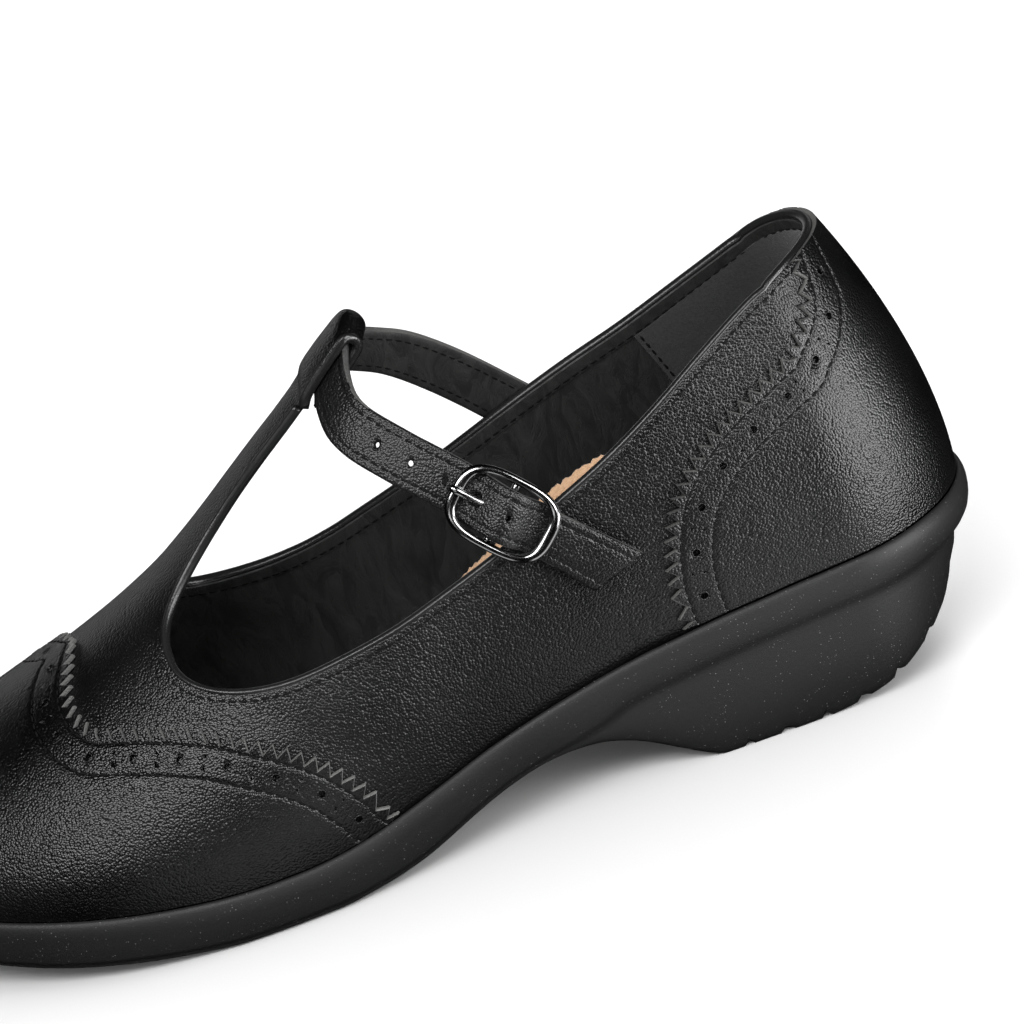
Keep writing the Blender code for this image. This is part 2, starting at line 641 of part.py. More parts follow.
def over_lip(p):
    return p[..., 2] > lip(np.clip(p[..., 0], 0, LENGTH)) + OVERLAY_FOOT


def edge_place_of(station):
    """Place for a station, on the heel's arc too."""
    if station >= HEEL_ROUND:
        return place_of(station)
    return math.acos(1 - station / HEEL_ROUND) / (math.pi / 2)


def build_strap(material):
    """Strap with its punched holes and the slot that the prong comes through."""
    rows = np.linspace(-7, 7, 141)
    middle, _, _, _ = strap_at(rows)
    run = np.concatenate([[0], np.cumsum(np.linalg.norm(np.diff(middle, axis=0), axis=1))])
    run = run - np.interp(BUCKLE_ROW, rows, run)
    loop_ends = np.interp([-LOOP_ROWS, LOOP_ROWS], rows, run)
    stops = [(run[0], 11), (loop_ends[0], 8), (loop_ends[1], 5), (-BUCKLE_HALF - 1, 18), (BUCKLE_HALF + 1, 5)]
    ends = [stop for stop, _ in stops[1:]] + [run[-1]]
    steps = np.concatenate([np.linspace(stop, end, count, endpoint=False)
                            for (stop, count), end in zip(stops, ends)] + [run[-1:]])
    at = np.interp(steps, run, rows)
    middle, across, _, normal = strap_at(at)
    humped = middle + strap_hump(steps)[:, None] * normal
    travel = np.gradient(humped, axis=0)
    travel /= np.linalg.norm(travel, axis=1, keepdims=True)
    tilt = np.cross(travel, across)
    tilt *= np.sign(np.sum(tilt * normal, axis=1))[:, None]
    tilt /= np.linalg.norm(tilt, axis=1, keepdims=True)
    half = np.linalg.norm(strap_edges(at)[1], axis=1) / 2
    half = np.where(at > STRAP_TIP_ROW, half, STRAP_WIDTH / 2)
    item = sweep_strip("strap", humped, across, tilt, half, STRAP_THICK / 2, material)
    cutters = []
    slot_middle, slot_half = sum(PRONG_SLOT) / 2, (PRONG_SLOT[1] - PRONG_SLOT[0]) / 2
    openings = [(place, HOLE_RADIUS, HOLE_RADIUS, HOLE_DEEP) for place in STRAP_HOLES]
    openings.append((slot_middle, slot_half, SLOT_RADIUS, SLOT_DEEP))
    for place, half_long, radius, deep in openings:
        c, n, t = (np.array([np.interp(place, steps, v[:, k]) for k in range(3)])
                   for v in (humped, tilt, travel))
        cutters.append(hole_cutter(c, n, t, half_long, radius, deep))
    points = np.concatenate(cutters)
    faces = []
    for h in range(len(cutters)):
        base, count = h * len(cutters[0]), len(cutters[0]) // 2
        for i in range(count):
            j = (i + 1) % count
            faces.append((base + i, base + j, base + count + j, base + count + i))
        faces.append(tuple(base + i for i in range(count)))
        faces.append(tuple(base + count + i for i in range(count)))
    cutter = make_object("strap_holes", points, faces, material)
    cut_with(item, cutter, "DIFFERENCE")
    return item


def strap_hump(run):
    """How far the strap lifts to pass over the buckle's bar."""
    share = np.clip(np.abs(run) / HUMP_HALF, 0, 1)
    return STRAP_HUMP * np.cos(share * math.pi / 2) ** 2


def hole_cutter(centre, normal, travel, half_long, radius, deep, sides=12):
    """Two rims of a round hole, or of a slot along the strap, over and under it."""
    across = np.cross(normal, travel)
    rim = []
    for i in range(sides):
        a = 2 * math.pi * (i + 0.5) / sides
        stretch = math.copysign(max(half_long - radius, 0.0), math.cos(a))
        rim.append((radius * math.cos(a) + stretch) * travel + radius * math.sin(a) * across)
    return np.array([centre + r - deep * normal for r in rim] + [centre + r + deep * normal for r in rim])


def buckle_frame_axes():
    middle, _, _, normal = strap_at(np.array([BUCKLE_ROW - 1.1, BUCKLE_ROW, BUCKLE_ROW + 0.95]))
    along = middle[2] - middle[0]
    along /= np.linalg.norm(along)
    n = normal[1] - along * np.dot(normal[1], along)
    n /= np.linalg.norm(n)
    side = np.cross(n, along)
    centre = (middle[0] + middle[2]) / 2 * 0.5 + middle[1] * 0.5
    return centre, along, side, n


def build_buckle(metal, leather):
    centre, along, side, n = buckle_frame_axes()

    def at(a, c, up):
        return centre + a * along + c * side + up * n

    rings = []
    turns, wire = 36, 10
    for i in range(turns):
        t = 2 * math.pi * i / turns
        ca, sa = math.cos(t), math.sin(t)
        a = BUCKLE_HALF * math.copysign(abs(ca) ** RING_SQUARE, ca)
        c = RING_HALF_WIDTH * math.copysign(abs(sa) ** RING_SQUARE, sa)
        radial = np.array([ca / BUCKLE_HALF, sa / RING_HALF_WIDTH])
        radial /= np.linalg.norm(radial)
        wide = WIRE_WIDE + RING_END_WIDER * abs(ca) ** 4
        ring = []
        for k in range(wire):
            q = 2 * math.pi * k / wire
            off = wide * math.cos(q)
            ring.append(at(a + radial[0] * off, c + radial[1] * off, RING_LIFT + WIRE_HIGH * math.sin(q)))
        rings.append(np.array(ring))
    frame = tube_solid("buckle_frame", rings, metal, closed=True)
    rod = round_bar("buckle_bar", at(0, -RING_HALF_WIDTH, BAR_LIFT), at(0, RING_HALF_WIDTH, BAR_LIFT),
                    BAR_RADIUS, n, metal)
    cut_with(frame, rod, "UNION")

    hook = BAR_RADIUS + PRONG_CLEAR + PRONG_RADIUS
    path = PRONG + [(hook * math.cos(q), BAR_LIFT + hook * math.sin(q)) for q in np.radians(PRONG_HOOK)]
    prong = round_tube("buckle_prong", [at(a, 0, up) for a, up in path], PRONG_RADIUS, metal)

    wrap = BAR_RADIUS + TAB_CLEAR + TAB_THICK / 2
    tail = [(a, tab_on_quarter(a, centre, along, side, n)) for a in TAB_ROOT]
    turn = [(3.4, BAR_LIFT - wrap - 0.25)]
    turn += [(wrap * math.cos(q), BAR_LIFT + wrap * math.sin(q)) for q in np.radians(TAB_TURN)]
    turn += [(a, BAR_LIFT + wrap + up) for a, up in TAB_TAIL]
    path = np.array([at(a, 0, up) for a, up in tail + turn])
    travel = np.gradient(path, axis=0)
    travel /= np.linalg.norm(travel, axis=1, keepdims=True)
    across = np.tile(side, (len(path), 1))
    tab = sweep_strip("buckle_tab", path, across, np.cross(travel, across), np.full(len(path), TAB_WIDTH / 2),
                      TAB_THICK / 2, leather, columns=2)
    corner = [at(a, c, up) for a in TAB_SLOT[0] for c in TAB_SLOT[1] for up in TAB_SLOT[2]]
    box = [(0, 1, 3, 2), (4, 6, 7, 5), (0, 4, 5, 1), (2, 3, 7, 6), (0, 2, 6, 4), (1, 5, 7, 3)]
    slot = make_object("tab_slot", corner, box, leather)
    cut_with(tab, slot, "DIFFERENCE")
    return frame, prong, tab


def tab_on_quarter(a, centre, along, side, n):
    """Height over the buckle's plane at which the tab lies on the quarter."""
    goal = centre + a * along
    places, shares = np.meshgrid(np.linspace(1.15, 1.5, 141), np.linspace(0.05, 0.45, 161), indexing="ij")
    p = section(OUTER, places, shares)
    flat = np.hypot((p - goal) @ along, (p - goal) @ side)
    i = np.unravel_index(np.argmin(flat), flat.shape)
    return float((p[i] - centre) @ n) + GAP + 0.1 + TAB_THICK / 2


def round_bar(name, start, end, radius, first, material, sides=10):
    travel = (end - start) / np.linalg.norm(end - start)
    second = np.cross(travel, first)
    angles = np.arange(sides) * 2 * math.pi / sides
    rim = np.array([radius * (math.cos(q) * first + math.sin(q) * second) for q in angles])
    return tube_solid(name, [start + rim, end + rim], material)


def centre_on_floor(items):
    """Origin under the middle of the shoe's box, on the floor."""
    corners = np.array([v.co for item in items for v in item.data.vertices])
    low, high = corners.min(axis=0), corners.max(axis=0)
    move = Matrix.Translation(Vector((-(low[0] + high[0]) / 2, -(low[1] + high[1]) / 2, -low[2])))
    for item in bpy.data.objects:
        item.data.transform(move)


def main():
    clear_scene()
    leather = make_material("black_leather", (0.012, 0.012, 0.013), 0.42)
    strap_skin = make_material("strap_leather", (0.014, 0.014, 0.015), 0.45)
    rubber = make_material("black_rubber", (0.02, 0.02, 0.021), 0.6)
    footbed = make_material("tan_leather", (0.62, 0.40, 0.25), 0.7)
    metal = make_material("gunmetal", (0.22, 0.22, 0.23), 0.22, 1.0)
    overlay = make_material("overlay_leather", (0.012, 0.012, 0.013), 0.4)

    sole = build_sole(rubber)
    upper = build_upper(leather)
    insole = build_insole(footbed)
    toe_cap = overlay_sheet("toe_cap", CAP_EDGE, CAP_ROWS, 3.0, lambda side, places: np.ones_like(places),
                            CAP_GAP, overlay, 18)
    counter = overlay_sheet("heel_counter", COUNTER_EDGE, COUNTER_ROWS, 0.0,
                            lambda side, places: collar_share(side, places) - COUNTER_TOP_SHARE,
                            COUNTER_GAP, overlay, 13)
    strap = build_strap(strap_skin)
    frame, prong, tab = build_buckle(metal, strap_skin)
    centre_on_floor([sole, upper, insole, toe_cap, counter, strap, frame, prong, tab])


main()
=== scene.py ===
import math

import bpy
import numpy as np
from mathutils import Matrix


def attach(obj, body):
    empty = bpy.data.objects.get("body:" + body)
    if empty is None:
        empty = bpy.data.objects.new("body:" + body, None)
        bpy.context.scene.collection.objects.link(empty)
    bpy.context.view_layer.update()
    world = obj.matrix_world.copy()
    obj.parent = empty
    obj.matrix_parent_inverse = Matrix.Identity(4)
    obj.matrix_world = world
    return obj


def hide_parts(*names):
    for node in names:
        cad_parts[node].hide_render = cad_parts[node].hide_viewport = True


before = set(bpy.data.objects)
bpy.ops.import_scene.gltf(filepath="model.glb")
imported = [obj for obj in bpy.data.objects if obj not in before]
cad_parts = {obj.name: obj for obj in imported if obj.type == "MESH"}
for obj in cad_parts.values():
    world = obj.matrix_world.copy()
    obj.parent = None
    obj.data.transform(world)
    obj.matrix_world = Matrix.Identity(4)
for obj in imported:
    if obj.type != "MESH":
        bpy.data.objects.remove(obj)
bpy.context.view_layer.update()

# Left T-bar mary jane in black leather on a moulded wedge sole.
# The form is worked out in millimetres: stations run from the back of the heel, y points to the
# outer side, z up from the floor. MM turns it into metres, SHIFT moves it to the frame's origin.
MM = 0.001
SHIFT = np.array([-127.0, 0.262, 0.0])
OUTER, INNER = 1, -1
SIDES = (OUTER, INNER)
SIDE_NAME = {OUTER: "outer", INNER: "inner"}

LENGTH, HEEL_ROUND, TOE_START, TOE_RIDGE_END = 254.0, 30.0, 188.0, 234.0
TOE_FULLNESS = 0.82
WALL, LEDGE, TRAY_DEPTH, GAP = 2.0, 2.6, 2.0, 0.3
BAND_HEIGHT = 9.0
THROAT, THROAT_BEGIN, THROAT_HEIGHT, THROAT_SPREAD = 169.0, 140.0, 57.8, 21.2
VAMP_SPLIT = 0.68
BAR_HALF, BAR_NECK = 6.0, 128.0
OVERLAY_LIFT, OVERLAY_THICK, OVERLAY_FOOT = 0.15, 1.1, 0.5
TOOTH_PITCH, TOOTH_DEEP, TOOTH_ROOT = 3.0, 2.5, 1.45
TOOTH_BEVEL, TOOTH_BEVEL_HIGH, RIDGE_FADE = 0.45, 0.42, 12.0
STRAP_HALF = 5.6
BUCKLE_ROW, BUCKLE_HALF = 5.0, 10.5
STRAP_HUMP, HUMP_HALF = 4.25, 8.2
RING_HALF_WIDTH, RING_SQUARE = 7.4, 0.65
WIRE_WIDE, WIRE_HIGH, RING_END_WIDER, RING_LIFT = 0.92, 0.95, 0.4, 2.55
BAR_RADIUS, BAR_LIFT, PRONG_RADIUS = 0.9, 1.0, 0.7
TAB_WIDTH, TAB_THICK = 9.0, 0.8


def table(columns, rows):
    """Short table as one array for each named column; the first column is the one that others go by."""
    return dict(zip(columns.split(), np.array(rows, float).T))


OUTLINE = table("station axis outer inner", [
    (0, 0.0, 30.0, 30.0), (30, 0.0, 30.5, 30.5), (60, 0.0, 32.0, 30.0), (90, 0.0, 33.5, 27.5),
    (110, -0.5, 36.0, 27.5), (130, -1.0, 40.5, 31.5), (150, -1.5, 45.0, 37.5), (165, -2.0, 47.0, 41.0),
    (180, -2.5, 47.5, 42.8), (200, -3.0, 46.0, 42.5), (225, -4.0, 41.5, 39.5), (254, -5.0, 34.0, 34.0)])
PROFILE = table("station lip tread", [
    (0, 34.8, 13.4), (6, 34.7, 11.2), (12, 34.6, 9.0), (18, 34.2, 6.8), (24, 33.8, 4.6), (30, 33.4, 2.6),
    (36, 32.9, 1.0), (42, 32.5, 0.2), (48, 32.0, 0.0), (60, 31.0, 0.0), (66, 30.3, 0.0),
    (70, 29.8, 1.8), (75, 29.2, 4.9), (80, 28.4, 8.0), (85, 27.5, 10.5), (90, 26.5, 12.1),
    (96, 25.2, 12.7), (102, 23.8, 12.3), (108, 22.3, 11.0), (114, 20.7, 9.2), (120, 18.9, 7.0),
    (126, 17.2, 4.7), (132, 15.5, 2.7), (138, 14.0, 1.4), (144, 12.9, 0.6), (150, 12.2, 0.0),
    (161, 11.8, 0.0), (172, 12.1, 0.0), (182, 13.0, 0.9), (192, 14.2, 2.1), (202, 15.5, 3.3),
    (212, 16.8, 4.6), (222, 18.2, 6.3), (238, 20.8, 9.5), (254, 23.5, 13.0)])
RIDGE = table("station height offset", [
    (30, 118.0, 0.0), (60, 120.0, 0.0), (90, 117.0, 0.0), (112, 108.4, 0.0), (118, 104.3, 0.0),
    (124, 99.5, -0.2), (131.6, 93.3, -0.5), (138.7, 87.8, -0.7), (146, 82.0, -1.0), (153, 76.4, -1.3),
    (160, 71.1, -1.7), (167, 66.5, -2.0), (174, 62.6, -2.4), (180, 59.6, -2.8), (186, 56.9, -3.2),
    (193, 54.0, -3.6), (199, 51.7, -4.0), (205, 49.5, -4.3), (215, 46.1, -4.6), (225, 42.6, -5.0),
    (232, 39.6, -5.0), (240, 35.4, -5.0), (248, 29.0, -5.0)])
SHAPE = table("place flare_outer flare_inner rise crown", [
    (0.0, 7.0, 7.0, 0.40, 0.23), (0.5, 7.0, 7.0, 0.40, 0.25), (1.0, 6.5, 6.5, 0.40, 0.40),
    (1.25, 6.0, 7.0, 0.39, 0.48), (1.5, 8.0, 10.0, 0.40, 0.52), (1.68, 11.0, 13.0, 0.41, 0.56),
    (1.85, 13.0, 14.0, 0.42, 0.58), (2.0, 14.0, 14.0, 0.42, 0.58), (2.3, 14.0, 14.0, 0.45, 0.55),
    (2.6, 12.0, 12.0, 0.50, 0.55), (3.0, 10.0, 10.0, 0.50, 0.55)])
COLLAR = table("station outer inner", [
    (12, 96.9, 96.9), (17, 96.3, 96.3), (24, 94.8, 94.0), (32, 91.6, 90.2), (46, 84.4, 84.0),
    (59, 77.0, 78.7), (72, 70.4, 74.6), (85, 65.0, 70.1), (97, 60.0, 65.4), (109, 56.1, 60.6),
    (121, 52.8, 56.0), (133, 50.8, 51.5), (144, 49.6, 49.2), (155, 49.2, 48.4), (170, 49.4, 48.2)])
INSOLE = table("station outer inner", [
    (0, 9.0, 9.0), (30, 8.5, 10.0), (50, 8.0, 17.0), (62, 7.5, 21.5), (72, 7.0, 22.5), (85, 6.5, 20.5),
    (97, 6.0, 16.6), (112, 5.5, 11.2), (126, 5.0, 6.6), (140, 4.8, 5.2), (160, 4.6, 4.8), (254, 4.4, 4.4)])
INSOLE_MIDDLE = 4.0

# Pinked edges of the two overlays, from the sole up: share of the section and place round the foot.
CAP_EDGE = table("share place", [
    (0.0, 1.649), (0.10, 1.680), (0.19, 1.712), (0.28, 1.758), (0.36, 1.807), (0.44, 1.856),
    (0.51, 1.907), (0.57, 1.955), (0.62, 1.997), (0.67, 2.024), (0.74, 2.041), (0.84, 2.033),
    (0.92, 2.010), (1.0, 1.976)])
COUNTER_EDGE = table("share place", [
    (0.0, 1.224), (0.06, 1.229), (0.12, 1.228), (0.20, 1.212), (0.255, 1.188), (0.293, 1.158),
    (0.338, 1.108), (0.37, 1.058), (0.40, 1.008), (0.418, 0.968), (0.44, 0.884), (0.468, 0.800),
    (0.50, 0.738), (0.545, 0.690), (0.60, 0.612)])

STRAP = table("row front_place front_share rear_place rear_share stand_off", [
    (-7, 1.305, -0.805, 1.260, -0.760, 1.8), (-6, 1.345, -0.732, 1.300, -0.685, 1.8),
    (-5, 1.398, -0.637, 1.352, -0.586, 1.8), (-4, 1.458, -0.521, 1.405, -0.475, 1.2),
    (-3, 1.503, -0.431, 1.448, -0.380, 0.8), (-2, 1.548, -0.333, 1.490, -0.290, 0.3),
    (-1, 1.583, -0.200, 1.523, -0.180, -1.3), (0, 1.590, 0.0, 1.533, 0.0, -2.3),
    (1, 1.600, 0.200, 1.540, 0.180, -1.3), (2, 1.578, 0.336, 1.533, 0.293, 0.5),
    (3, 1.533, 0.466, 1.486, 0.420, 1.4), (4, 1.473, 0.591, 1.423, 0.538, 2.2),
    (5, 1.433, 0.662, 1.383, 0.608, 2.6), (6, 1.383, 0.732, 1.338, 0.684, 2.8),
    (7, 1.328, 0.827, 1.253, 0.805, 2.6)])
STRAP_HOLES = (-29.0, -21.2, -13.4, 0.6)
PRONG_SLOT = (-7.2, -4.2)
LOOP = [(-9.2, 2.2), (-6.6, 3.2), (-2.0, 3.5), (2.0, 3.5), (5.8, 3.4), (7.8, 2.9), (8.9, 1.7), (9.3, 0.0),
        (8.9, -1.7), (7.8, -2.9), (5.8, -3.4), (0.0, -3.45), (-5.6, -3.4), (-8.0, -3.3)]


def cubic(values, slopes, i, span, t):
    """Cubic curve from value i to the next, at share t of the span between them."""
    rise = values[i] * (1 + 2 * t) * (1 - t) ** 2 + values[i + 1] * t * t * (3 - 2 * t)
    return rise + span * t * (1 - t) * (slopes[i] * (1 - t) - slopes[i + 1] * t)


def smooth(rows, column, at):
    """Cubic curve through one column of a table."""
    at = np.asarray(at, float)
    x = next(iter(rows.values()))
    i = np.clip(np.searchsorted(x, at) - 1, 0, len(x) - 2)
    span = x[i + 1] - x[i]
    t = np.clip((at - x[i]) / span, 0.0, 1.0)
    return cubic(rows[column], np.gradient(rows[column], x), i, span, t)


def outline(side, place):
    """Point of the sole's outline."""
    place = np.asarray(place, float)
    heel = np.clip(place, 0, 1) * math.pi / 2
    toe = np.clip(place - 2, 0, 1) * math.pi / 2
    straight = HEEL_ROUND + (TOE_START - HEEL_ROUND) * (place - 1)
    s = np.where(place < 1, HEEL_ROUND * (1 - np.cos(heel)),
                 np.where(place < 2, straight, TOE_START + (LENGTH - TOE_START) * np.sin(toe)))
    half = smooth(OUTLINE, SIDE_NAME[side], s)
    rounding = np.where(place < 1, np.sin(heel), np.where(place < 2, 1.0, np.cos(toe) ** TOE_FULLNESS))
    rounding = np.where(place >= 3, 0.0, rounding)
    return s, smooth(OUTLINE, "axis", s) + side * half * rounding


def outline_in(side, place, inset):
    """The outline moved inwards by inset."""
    place = np.asarray(place, float)
    step = 1e-3
    s, y = outline(side, place)
    s0, y0 = outline(side, np.clip(place - step, 0, 3))
    s1, y1 = outline(side, np.clip(place + step, 0, 3))
    run = np.hypot(s1 - s0, y1 - y0)
    out_s = np.where(place <= 0, -1.0, np.where(place >= 3, 1.0, -side * (y1 - y0) / run))
    out_y = np.where((place <= 0) | (place >= 3), 0.0, side * (s1 - s0) / run)
    return s - inset * out_s, y - inset * out_y


def place_of(station):
    """Place on the sides or the toe for a station."""
    station = np.asarray(station, float)
    toe = np.arcsin(np.clip((station - TOE_START) / (LENGTH - TOE_START), 0, 1)) / (math.pi / 2)
    return np.where(station < TOE_START, 1 + (station - HEEL_ROUND) / (TOE_START - HEEL_ROUND), 2 + toe)


# The sides stop this far before the toe's round.
TOE_SHY = 0.01


def round_foot(heel_steps, side_steps, toe_steps):
    """Places from the back of the heel along a side to the end of the toe."""
    sides = place_of(np.linspace(HEEL_ROUND, TOE_START - TOE_SHY, side_steps))
    return np.concatenate([np.linspace(0, 1, heel_steps)[:-1], sides, 2 + np.linspace(0, 1, toe_steps)])


def lip(s):
    return smooth(PROFILE, "lip", s)


def tread(s):
    return np.maximum(smooth(PROFILE, "tread", s), 0.0)


def ridge_height(s):
    return smooth(RIDGE, "height", s)


def ridge_offset(s):
    return smooth(RIDGE, "offset", s)


def ridge_station(place):
    """Station of the ridge point that a section leads up to."""
    s, _ = outline(OUTER, place)
    spread = (TOE_RIDGE_END - TOE_START) / (LENGTH - TOE_START)
    return np.where(place < 1, HEEL_ROUND, np.where(place < 2, s, TOE_START + spread * (s - TOE_START)))


def ridge_slope(place, top_s):
    """Fall of the ridge where a section leads up to it."""
    return np.where(place < 1, 0.0, ridge_height(top_s + 0.5) - ridge_height(top_s - 0.5))


def section(side, place, share):
    """Point of the upper's outer face, from the sole (share 0) to the ridge (share 1)."""
    place = np.asarray(place, float)
    share = np.asarray(share, float)
    foot_s, foot_y = outline_in(side, place, LEDGE + GAP)
    rim_s, _ = outline(side, place)
    foot_z = lip(rim_s) - TRAY_DEPTH + GAP
    top_s = ridge_station(place)
    top_y, top_z = ridge_offset(top_s), ridge_height(top_s)
    slope = ridge_slope(place, top_s)
    ds, dy = foot_s - top_s, foot_y - top_y
    reach = np.hypot(ds, dy)
    high = top_z - foot_z
    flare = np.tan(np.radians(smooth(SHAPE, "flare_" + SIDE_NAME[side], place)))
    rise, crown = smooth(SHAPE, "rise", place), smooth(SHAPE, "crown", place)
    out = high * rise * flare / reach
    b0, b1 = (1 - share) ** 3, 3 * share * (1 - share) ** 2
    b2, b3 = 3 * share * share * (1 - share), share ** 3
    px = b0 * foot_s + b1 * (foot_s + ds * out) + b2 * (top_s + ds * crown) + b3 * top_s
    py = b0 * foot_y + b1 * (foot_y + dy * out) + b2 * (top_y + dy * crown) + b3 * top_y
    pz = b0 * foot_z + b1 * (foot_z + high * rise) + b2 * (top_z + slope * ds * crown) + b3 * top_z
    return np.stack(np.broadcast_arrays(px, py, pz), -1)


def unit(v):
    return v / np.maximum(np.linalg.norm(v, axis=-1, keepdims=True), 1e-12)


def run_along(points):
    """Distance along a line at each of its points."""
    return np.concatenate([[0], np.cumsum(np.linalg.norm(np.diff(points, axis=0), axis=1))])


def line_at(at, run, values):
    """Values of a line at distances along its run."""
    return np.stack([np.interp(at, run, values[:, c]) for c in range(values.shape[1])], -1)


# Share of a section that counts as its ridge, and the halvings that find a share.
AT_RIDGE, HALVINGS = 0.999, 30


def outward(side, place, share):
    """Outward normal of the upper's face."""
    place, share = np.broadcast_arrays(np.asarray(place, float), np.asarray(share, float))
    step = 2e-3
    along = (section(side, np.clip(place + step, 0, 3), share)
             - section(side, np.clip(place - step, 0, 3), share))
    up = (section(side, place, np.clip(share + step, 0, 1))
          - section(side, place, np.clip(share - step, 0, 1)))
    normal = -side * np.cross(along, up)
    ends = np.where(place <= 0, -1.0, 1.0)
    upright = np.stack([ends * up[..., 2], np.zeros_like(place), -ends * up[..., 0]], -1)
    normal = np.where(((place <= 0) | (place >= 3))[..., None], upright, normal)
    slope = ridge_slope(place, ridge_station(place))
    crest = np.stack([-slope, np.zeros_like(slope), np.ones_like(slope)], -1)
    return unit(np.where((share >= AT_RIDGE)[..., None], crest, normal))


def off_section(side, place, share, distance):
    distance = np.asarray(distance, float)
    return section(side, place, share) + distance[..., None] * outward(side, place, share)


def find_share(side, place, above):
    """Share at which a section passes from below to above."""
    low, high = np.zeros_like(place), np.ones_like(place)
    for _ in range(HALVINGS):
        middle = (low + high) / 2
        passed = above(section(side, place, middle))
        high = np.where(passed, middle, high)
        low = np.where(passed, low, middle)
    return (low + high) / 2


def throat_part(s):
    return np.clip((s - THROAT_BEGIN) / (THROAT - THROAT_BEGIN), 0, 1)


# The two toplines run into one behind this place; powers that round the throat at the topline and the T-bar.
HEEL_BLEND, COLLAR_ROUND, BAR_ROUND = 0.5, (2.6, 1 / 2.4), (2.2, 0.5)


def collar_share(side, place):
    """Where the topline cuts each section."""
    own = np.clip(place / HEEL_BLEND, 0, 1)

    def above(p):
        both = (smooth(COLLAR, "outer", p[..., 0]) + smooth(COLLAR, "inner", p[..., 0])) / 2
        low = both + (smooth(COLLAR, SIDE_NAME[side], p[..., 0]) - both) * own
        round_front = (1 - throat_part(p[..., 0]) ** COLLAR_ROUND[0]) ** COLLAR_ROUND[1]
        return p[..., 2] > THROAT_HEIGHT - (THROAT_HEIGHT - low) * round_front
    return find_share(side, place, above)


def bar_share(side, place):
    """Where the edge of the T-bar cuts each section."""
    def above(p):
        round_front = 1 - (1 - throat_part(p[..., 0]) ** BAR_ROUND[0]) ** BAR_ROUND[1]
        half = BAR_HALF + (THROAT_SPREAD - BAR_HALF) * round_front
        return np.abs(p[..., 1] - ridge_offset(p[..., 0])) < half
    return find_share(side, place, above)


def lip_share(side, place, over):
    """Where a section passes the sole's lip."""
    return find_share(side, place, lambda p: p[..., 2] > lip(np.clip(p[..., 0], 0, LENGTH)) + over)


def strap_edges(row):
    row = np.asarray(row, float)

    def edge(name):
        share = smooth(STRAP, name + "_share", row)
        place = smooth(STRAP, name + "_place", row)
        return np.where((share >= 0)[..., None], section(OUTER, place, 1 - np.abs(share)),
                        section(INNER, place, 1 - np.abs(share)))
    front, rear = edge("front"), edge("rear")
    return (front + rear) / 2, rear - front


def strap_at(row):
    """Middle, front-to-rear direction, travel direction and normal of the strap at rows of its table."""
    row, step = np.asarray(row, float), 0.02
    middle, across = strap_edges(row)
    travel = unit(strap_edges(row + step)[0] - strap_edges(row - step)[0])
    across = unit(across)
    normal = unit(np.cross(travel, across))
    normal = np.where((normal[..., 2] < 0)[..., None], -normal, normal)
    middle = middle + smooth(STRAP, "stand_off", row)[..., None] * normal
    return middle, across, travel, normal


def strap_hump(run):
    """How far the strap lifts to pass over the buckle's bar."""
    share = np.clip(np.abs(run) / HUMP_HALF, 0, 1)
    return STRAP_HUMP * np.cos(share * math.pi / 2) ** 2


# Bench work: blanks, joining, merging, thickness

SHARP_ANGLE, SLIVER = math.radians(38), 0.001


def deselect():
    bpy.ops.object.select_all(action="DESELECT")


def discard(*pieces):
    for piece in pieces:
        bpy.data.objects.remove(piece, do_unlink=True)


def take(piece):
    """Only this piece is selected and active."""
    deselect()
    piece.select_set(True)
    bpy.context.view_layer.objects.active = piece


def lasted(name, points):
    """A flat grid blank pulled over the form: points is a grid of places in millimetres."""
    columns, rows = points.shape[0] - 1, points.shape[1] - 1
    deselect()
    bpy.ops.mesh.primitive_grid_add(x_subdivisions=columns, y_subdivisions=rows, size=1.0)
    piece = bpy.context.object
    piece.name = name
    piece.data.name = name
    flat = np.empty(len(piece.data.vertices) * 3)
    piece.data.vertices.foreach_get("co", flat)
    flat = flat.reshape(-1, 3)
    column = np.rint((flat[:, 0] + 0.5) * columns).astype(int)
    row = np.rint((flat[:, 1] + 0.5) * rows).astype(int)
    place = (points[column, row] + SHIFT) * MM
    piece.data.vertices.foreach_set("co", place.ravel())
    piece.data.update()
    bpy.ops.object.shade_smooth()
    return piece


def crisp(piece):
    """Round shading that breaks at sharp edges."""
    take(piece)
    bpy.ops.object.shade_smooth_by_angle(angle=SHARP_ANGLE)
    return piece


def join(name, pieces):
    deselect()
    for piece in pieces:
        piece.select_set(True)
    bpy.context.view_layer.objects.active = pieces[0]
    if len(pieces) > 1:
        bpy.ops.object.join()
    pieces[0].name = name
    pieces[0].data.name = name
    return pieces[0]


def merge(piece, distance=0.01, outside=False):
    """Merge the seams of a piece; outside also turns the faces of a closed one outwards."""
    take(piece)
    bpy.ops.object.mode_set(mode="EDIT")
    bpy.ops.mesh.select_all(action="SELECT")
    bpy.ops.mesh.remove_doubles(threshold=distance * MM)
    bpy.ops.mesh.dissolve_degenerate(threshold=SLIVER * MM)
    if outside:
        bpy.ops.mesh.normals_make_consistent(inside=False)
    bpy.ops.object.mode_set(mode="OBJECT")
    return piece


def wall(piece, thickness, offset, inner=0, rim=0):
    """Give a sheet its thickness; inner and rim are steps to the next materials."""
    take(piece)
    solid = piece.modifiers.new("wall", "SOLIDIFY")
    solid.thickness = thickness * MM
    solid.offset = offset
    solid.use_even_offset = True
    solid.use_quality_normals = True
    solid.material_offset = inner
    solid.material_offset_rim = rim
    bpy.ops.object.modifier_apply(modifier="wall")
    return piece


